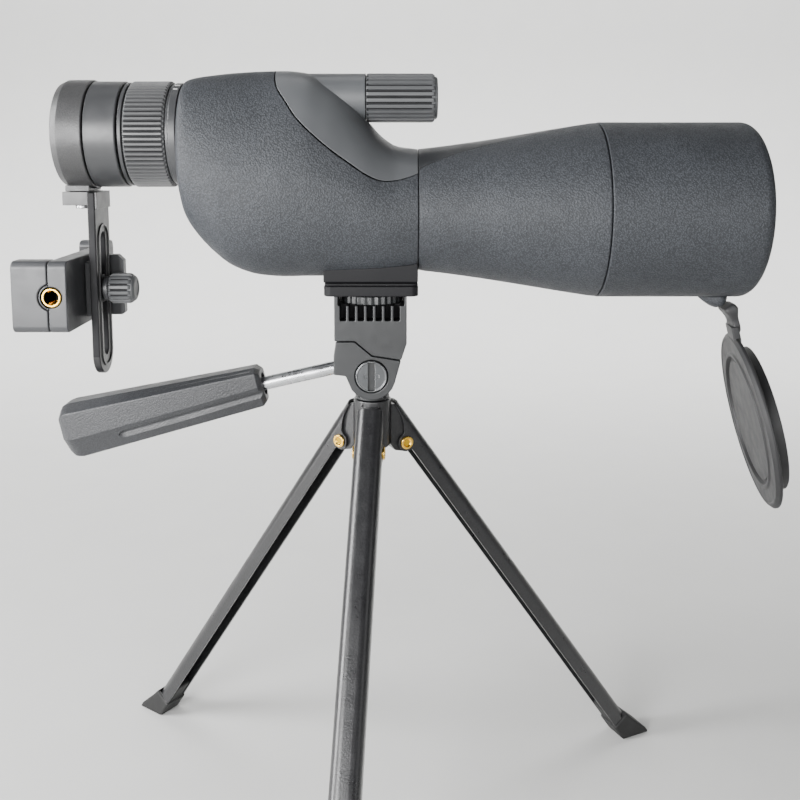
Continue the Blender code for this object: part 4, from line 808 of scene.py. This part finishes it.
def make_clamp():
    for node, edge, body in (("slide_block", 0.3, "phone_clamp"), ("clamp_base", 0.5, "phone_clamp"),
                             ("near_jaw", 0.6, "phone_clamp"), ("far_jaw", 0.5, "clamp_jaw")):
        dress(from_node(node, edge), body, "plastic", "black_plastic", node)
    bore = [(4.0, 27.0), (3.7, 27.3), (3.2, 27.3), (2.9, 26.9)]
    for i in range(THREADS):
        z = 26.7 - THREAD_PITCH * i
        bore += [(2.9, z), (2.5, z - 0.45)]
    turned("thread_insert", bore + [(2.6, 18.4), (4.0, 18.4)], 96, CLAMP @ shift(-142.5, 0, 0) @ UPRIGHT,
           "phone_clamp", "brass", "brass", "brass_insert")

    rings = []
    for x, radius in ((-4.8, 5.9), (-4.4, 6.3), (-3.9, 6.6), (3.6, 6.6), (4.3, 6.3), (4.8, 5.9)):
        rings.append([(a, b, x) for a, b in ribbed(radius, 0.75 if radius > 6 else 0.2, 16, 0.5, 12)])
    screw = thing("thumb_wheel", skin(rings), THUMB)
    dome = [(0, 4.0), (5.6, 4.0), (5.6, 5.2), (5.2, 5.8), (4.4, 6.2), (3.4, 6.2), (3.1, 5.9), (0, 5.9)]
    combine(screw, "UNION", lathe(dome, 96), THUMB)
    combine(screw, "UNION", rod(2.0, -13.0, -4, 32), THUMB)
    dress(screw, "clamp_thumb", "knob", "matte_ring", "thumb_screw")
    # The wheel's grooves are painted dark as shade.
    paint_groove_shade(screw, 5.0, 6.2, -3.7, 3.7, THUMB)
    washer = fillet([(5.4, -126.3), (5.4, -128.5), (2.3, -128.5), (2.3, -126.3)], 0.3)
    turned("thumb_collar", washer, 96, CLAMP @ ALONG_X, "phone_clamp", "plastic", "black_plastic",
           "thumb_washer")


# ---------------------------------------------------------------- lens cap
PAD_R, PAD_STEPS, PAD_SIDES = 37.7, 20, 24


def make_cap():
    """The strap's pad under the hood, its neck, and the hanging cap."""
    rings = []
    for i in range(PAD_STEPS + 1):
        share = i / PAD_STEPS
        x = 130.2 + 12.4 * share
        swell = math.sin(math.pi * min(max(share, 0.01), 0.99) ** 1.5) ** 0.6
        half, deep = 7.0 * swell, 0.3 + 4.6 * swell
        ring = []
        for k in range(PAD_SIDES + 1):
            y = half * math.cos(math.pi * k / PAD_SIDES)
            ring.append((x, y, -math.sqrt(PAD_R ** 2 - y * y)))
        for k in range(1, PAD_SIDES):
            y = -half * math.cos(math.pi * k / PAD_SIDES)
            thick = deep * math.sin(math.pi * k / PAD_SIDES) ** 0.7
            ring.append((x, y, -math.sqrt(PAD_R ** 2 - y * y) - thick))
        rings.append(ring)
    dress(thing("strap_pad", skin(rings), SCOPE), "scope", "armour", "soft_rubber", "strap_anchor")

    # The neck's back and front edges, from its root, and its half width.
    stations = (
        ((-1.9, 0.2), (0.2, 1.6), 4.6), ((-2.8, -0.9), (2.0, 1.7), 5.6), ((-2.3, -2.0), (3.2, 0.4), 6.0),
        ((-0.9, -3.4), (3.4, -1.6), 5.6), ((0.3, -5.0), (3.6, -3.6), 4.9), ((1.1, -6.8), (4.2, -5.6), 4.7),
        ((1.5, -8.6), (4.7, -7.8), 5.2), ((1.4, -10.0), (4.7, -9.4), 5.9), ((1.9, -10.9), (4.2, -10.5), 5.9),
    )
    rings = []
    for (back_x, back_z), (front_x, front_z), half in stations:
        ring = []
        for side, share in fillet([(1, 1), (-1, 1), (-1, -1), (1, -1)], 0.45):
            mixed = (share + 1) / 2
            x, z = back_x + (front_x - back_x) * mixed, back_z + (front_z - back_z) * mixed
            ring.append((x, side * half, z))
        rings.append(ring)
    neck = thing("strap_neck", skin(rings), SCOPE @ Matrix.Translation(STRAP_ROOT))
    dress(neck, "strap", "strap", "soft_rubber", "cap_strap", sharp=60)

    disc = [
        (0, 1.0), (26.4, 1.0), (26.9, 0.2), (28.0, 0.2), (28.6, 1.9), (29.8, 1.9), (30.4, 1.3),
        (31.0, 1.2), (36.2, 1.2), (36.7, 1.45), (37.6, 1.4), (39.0, 0.1), (39.0, -1.0), (38.4, -1.4),
        (31.7, -1.4), (31.7, -6.0), (31.3, -6.4), (30.3, -6.4), (29.9, -6.0), (29.9, -1.2), (0, -1.2),
    ]
    lie = shift(0, 0, 42.3) @ turn(CAP_TWIST, "Z") @ turn(90, "Y")
    cap = thing("cap_disc", lathe(fillet(disc, 0.35), 176), CAP @ lie)
    tab = plate([fillet([(1.0, -6), (1.0, 6), (-2.2, 6), (-2.2, -6)], 0.7)], -1.4, 5.6, 0.4)
    combine(cap, "UNION", tab, CAP @ turn(CAP_TWIST, "Z"))
    dress(cap, "cap", "cap", "soft_rubber", "lens_cap")


# ---------------------------------------------------------------- tripod head
def make_head():
    dress(from_node("platform_plate", 0.5), "head", "deck", "painted_sheet", "platform_plate")
    corners = [(19.6, -16.7), (19.6, 16.7), (-19.6, 16.7), (-19.6, -16.7)]
    sheet = plate([fillet(corners, 2.6), circle(6.0)], -30.7, -30.0, 0.1)
    dress(thing("platform_sheet", sheet, HEAD), "head", "inner", "soft_rubber", "platform_pad")
    block_form = from_node("head_block", 0.35)
    dress(block_form, "head", "head", "black_plastic", "head_block")
    # Faces of the block between these heights, within 11.4 mm of its middle, are painted near-black as shade.
    part_finish(block_form, "inner", lambda spot: -46.6 < spot.z < -36.2 and abs(spot.y) < 11.4, HEAD)
    dress(from_node("tilt_housing", 0.45), "head", "head", "black_plastic", "tilt_housing")
    bolt = [(0, 9.8), (2.9, 9.8), (2.9, -9.6), (6.9, -9.6), (6.9, -12.3), (6.75, -12.75), (6.3, -13.0),
            (5.9, -12.75), (0, -12.75)]
    screw = thing("pivot_bolt", lathe(bolt, 96), PIVOT @ turn(-90, "X"))
    combine(screw, "DIFFERENCE", block((-1.5, -14, -6.3), (1.5, -11.4, 6.3)), PIVOT)
    combine(screw, "DIFFERENCE", block((-3.2, -14, -0.9), (3.2, -12.3, 0.9)), PIVOT)
    dress(screw, "head", "bolt", "matte_ring", "tilt_pivot_bolt")
    # The floor of the bolt's slot is painted in the head's dark plastic finish, as shade in the slot.
    part_finish(screw, "head", lambda spot: abs(spot.x) < 1.45 and -11.7 < spot.y < -11.2, PIVOT)
    dress(from_node("camera_screw", 0.25), "mount_wheel", "head", "matte_ring", "camera_screw")


GRIP_STATIONS = (
    # along, top, upper corner, lower corner, underside and half width
    (49.0, 6.6, 5.2, 0.4, -7.2, 6.2), (49.4, 7.2, 5.8, 0.4, -7.8, 6.9),
    (50.8, 8.5, 6.7, 0.4, -9.1, 8.1), (52.0, 8.6, 6.8, 0.3, -9.2, 8.2),
    (60.0, 8.8, 6.9, -0.2, -9.6, 8.4), (133.0, 11.4, 8.1, -3.7, -13.2, 10.6),
    (135.4, 11.1, 7.9, -3.7, -12.8, 10.2), (136.8, 10.6, 7.5, -3.7, -12.2, 9.7),
    (138.6, 8.6, 6.2, -3.4, -10.0, 8.0), (139.2, 7.4, 5.4, -3.2, -8.6, 6.9),
)


OFF_AXIS = 50   # fillet keeps the corners on the axis, so the grip is rounded off it


def grip_section(station):
    along, top, upper, lower, under, side = station
    near, bottom = side * 0.45, side * 0.47
    ring = [(top, near), (upper, side), (lower, side), (under, bottom),
            (under, -bottom), (lower, -side), (upper, -side), (top, -near)]
    moved = fillet([(x + OFF_AXIS, y) for x, y in ring], 0.8)
    return [(x - OFF_AXIS, y, along) for x, y in moved]


def grip_groove(start, end, half, deep, side):
    """A tool for a V groove along a facet of the grip, with a round far end."""
    start, end = Vector(start), Vector(end)
    start.y, end.y = start.y * side, end.y * side
    out = Vector((-0.45, 0.89 * side, 0)) if start.x < 4 else Vector((0.87, 0.5 * side, 0))
    across = Vector((-out.y, out.x, 0)) * side
    rings = []
    for share, wide in ((0.0, 1.0), (0.5, 1.0), (0.96, 1.0), (0.975, 0.9), (0.99, 0.66), (1.0, 0.3)):
        spot = start.lerp(end, share)
        reach = half * wide
        rings.append([spot + across * a * reach + out * b for a, b in
                      ((-1, 2.5), (-1, 0.1), (-0.5, -deep * wide), (0.1, -deep * wide), (1, 0.1), (1, 2.5))])
    return skin(rings)


def make_handle():
    dress(thing("handle_bar", lathe(fillet([(0, 9.5), (3.0, 9.5), (3.0, 60), (0, 60)], 0.5), 64), HANDLE),
          "handle", "zinc", "bright_steel", "handle_rod")
    grip = thing("grip_shell", skin([grip_section(station) for station in GRIP_STATIONS]), HANDLE)
    combine(grip, "DIFFERENCE", rod(3.3, 40, 61, 48), HANDLE)
    combine(grip, "DIFFERENCE", rod(5.0, 40, 50.4, 48), HANDLE)
    for side in (-1, 1):
        combine(grip, "DIFFERENCE", grip_groove((-2.9, 6.6, 44), (-6.6, 7.8, 114.5), 2.1, 1.2, side), HANDLE)
        for low, high in ((7.6, 10.1), (7.9, 10.6)):
            fine = grip_groove((low, 6.0, 53), (high, 7.4, 116), 0.22, 0.4, side)
            combine(grip, "DIFFERENCE", fine, HANDLE)
    dress(grip, "handle", "grip", "grip_plastic", "handle_grip", sharp=28)


# ---------------------------------------------------------------- tripod
RIVET_R, RIVET_DROP, SPREAD_R = 14.0, 20.6, 150.5
FIRST_HEADING = -90 - 4.86
LEG_BACK, LEG_DEPTH, EAR, SHOE_TOP, LEG_TOP = 8.4, 8.2, 3.8, 17.0, 16.9


def leg_frames():
    """Each leg's rivet frame, its length and its lean."""
    reach, rise = SPREAD_R - RIVET_R, HUB_TOP - RIVET_DROP
    slant = math.hypot(reach, rise)
    length = math.sqrt(slant ** 2 - LEG_BACK ** 2)
    lean = math.degrees(math.atan2(reach, rise) - math.asin(LEG_BACK / slant))
    places = []
    for i in range(3):
        heading = FIRST_HEADING - 120 * i
        spot = turn(heading, "Z") @ shift(RIVET_R, 0, -RIVET_DROP)
        places.append(HUB @ spot)
    return places, length, lean


def trimmer(outline):
    """A tool through both flanges of a leg, from an outline in its XZ plane."""
    work = plate([outline], -12, 12)
    bmesh.ops.transform(work, matrix=turn(90, "X"), verts=work.verts)
    return work


def make_leg(index, place, length, lean, body):
    corner, half, inner, wall, bend = 4.4, 6.0, 4.9, 1.1, 1.9
    outline = [(-EAR, half)] + arc((LEG_BACK - corner, half - corner), corner, 90, 0, 9)
    outline += arc((LEG_BACK - corner, corner - half), corner, 0, -90, 9) + [(-EAR, -half), (-EAR, -inner)]
    outline += arc((LEG_BACK - wall - bend, bend - inner), bend, -90, 0, 9)
    outline += arc((LEG_BACK - wall - bend, inner - bend), bend, 0, 90, 9) + [(-EAR, inner)]
    tilted = place @ turn(-lean, "Y")
    leg = thing("leg_channel_%d" % index, plate([outline], SHOE_TOP - length, LEG_TOP), tilted)
    free = LEG_BACK - LEG_DEPTH
    below = arc((0, 0), EAR, 190, 260, 13) + [(free, -4.6), (free, -250), (-9, -250), (-9, -0.7)]
    combine(leg, "DIFFERENCE", trimmer(below), tilted)
    above = arc((0, 0), EAR, 170, 80, 15)
    above += smooth_line([(1.9, 4.4), (2.9, 6.0), (4.3, 8.8), (5.5, 12.6), (6.0, 17.5)], 4)
    above += [(-9, 17.5), (-9, 0.7)]
    combine(leg, "DIFFERENCE", trimmer(above), tilted)
    combine(leg, "DIFFERENCE", rod(2.3, -10, 10, 32), place @ turn(90, "X"))
    dress(leg, body, "leg", "painted_sheet", "leg_%d" % index)
    dress(from_node("foot_%d" % index, 1.1), body, "shoe", "soft_rubber", "foot_%d" % index)
    head = [(2.0, 0), (2.0, 6.3), (2.9, 6.3), (2.9, 6.7), (2.6, 7.0), (1.95, 7.0), (1.7, 6.7),
            (1.4, 6.4), (0, 6.3)]
    rivet = [(r, -z) for r, z in reversed(head)] + head[1:]
    pin = thing("rivet_%d" % index, lathe(rivet, 64), place @ turn(90, "X"))
    dress(pin, "hub", "brass", "brass", "leg_rivet_%d" % index)
    # The dimple in the rivet's head is painted dark as shade.
    part_finish(pin, "core", lambda spot: math.hypot(spot.x, spot.y) < 1.5, place @ turn(90, "X"))


def make_tripod():
    places, length, lean = leg_frames()
    for i, body in enumerate(("front_leg", "left_leg", "right_leg")):
        make_leg(i + 1, places[i], length, lean, body)
    dress(from_node("tripod_hub", 0.4), "hub", "leg", "painted_sheet", "tripod_hub")
    dress(from_node("pan_column", 0.3), "column", "head", "painted_sheet", "pan_column")


def keep_nodes():
    """CAD nodes whose own shape is shown, with a full finish."""
    wanted = {
        "focus_carriage": "anodised", "focus_lens": "lens", "prism_1": "prism", "prism_2": "prism",
        "prism_plate": "anodised", "zoom_cam_sleeve": "brass", "zoom_cell": "anodised", "zoom_lens": "lens",
        "near_pad": "pad", "far_pad": "pad", "tilt_pivot_nut": "steel",
    }
    for node, finish_name in wanted.items():
        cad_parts[node].data.materials.clear()
        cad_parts[node].data.materials.append(FINISHES[finish_name])


# ---------------------------------------------------------------- studio
CAMERA_AT, CAMERA_TILT = (-0.0057, -0.3807, 0.3089), 83.34   # in metres and degrees
LENS_MM, CAMERA_SHIFT = 42.858, -0.18025


def make_floor():
    """A pale floor that sweeps up into a pale wall."""
    near, bend_at, sweep, top, half, drop = -2600, 900, 500, 2600, 3200, 0.05
    profile = [(near, 0), (bend_at, 0)] + arc((bend_at, sweep), sweep, -90, 0, 14)[1:]
    profile.append((bend_at + sweep, top))
    work = bmesh.new()
    rows = [[work.verts.new((x, y, z - drop)) for y, z in profile] for x in (-half, half)]
    for i in range(len(profile) - 1):
        work.faces.new((rows[0][i], rows[1][i], rows[1][i + 1], rows[0][i + 1]))
    floor = thing("studio_sweep", work)
    floor.data.shade_smooth()
    floor.data.materials.append(finish("paper_sweep", (0.57, 0.57, 0.56), 0.85, mottle=0.01, swing=0.03,
                                       bumps=(("grain", 1.5, 0.02),), specular=0.2))


def lamp(name, at, towards, width, height, watts, spread=180):
    data = bpy.data.lights.new(name, "AREA")
    data.shape = "RECTANGLE"
    data.size, data.size_y = width, height
    data.energy = watts
    data.spread = math.radians(spread)
    light = bpy.data.objects.new(name, data)
    bpy.context.scene.collection.objects.link(light)
    light.location = at
    light.rotation_euler = (Vector(towards) - Vector(at)).to_track_quat("-Z", "Y").to_euler()


def make_studio():
    make_floor()
    middle = (0, 0.03, 0.24)
    lamp("key_box", (-0.45, -0.68, 0.34), (-0.08, 0.03, 0.28), 0.40, 0.40, 15)
    lamp("left_strip", (-0.75, -0.15, 0.46), (0, 0, 0.2), 0.2, 0.8, 16)
    lamp("front_box", (0.25, -1.30, 0.36), middle, 1.0, 0.5, 10)
    lamp("right_box", (0.95, -0.35, 0.40), middle, 0.4, 0.6, 1)
    lamp("wall_wash", (0.0, 0.60, 1.90), (0, 1.40, 0.5), 3.0, 0.5, 32, 70)
    lamp("floor_wash", (0.0, 0.60, 1.90), (0, 0.75, 0), 3.0, 0.5, 13, 50)
    world = bpy.data.worlds.new("studio")
    world.use_nodes = True
    sky = world.node_tree.nodes["Background"]
    sky.inputs["Color"].default_value = (0.78, 0.80, 0.82, 1)
    sky.inputs["Strength"].default_value = 0.07
    bpy.context.scene.world = world

    data = bpy.data.cameras.new("camera")
    data.sensor_width = 36.0
    data.lens = LENS_MM
    data.shift_y = CAMERA_SHIFT
    data.clip_start = 0.01
    camera = bpy.data.objects.new("camera", data)
    bpy.context.scene.collection.objects.link(camera)
    camera.location = CAMERA_AT
    camera.rotation_euler = (math.radians(CAMERA_TILT), 0, 0)
    bpy.context.scene.camera = camera


make_hood()
make_cone()
make_objective()
make_housing()
make_foot()
make_focus()
make_eyepiece()
make_adapter()
make_clamp()
make_cap()
make_head()
make_handle()
make_tripod()
keep_nodes()
make_studio()
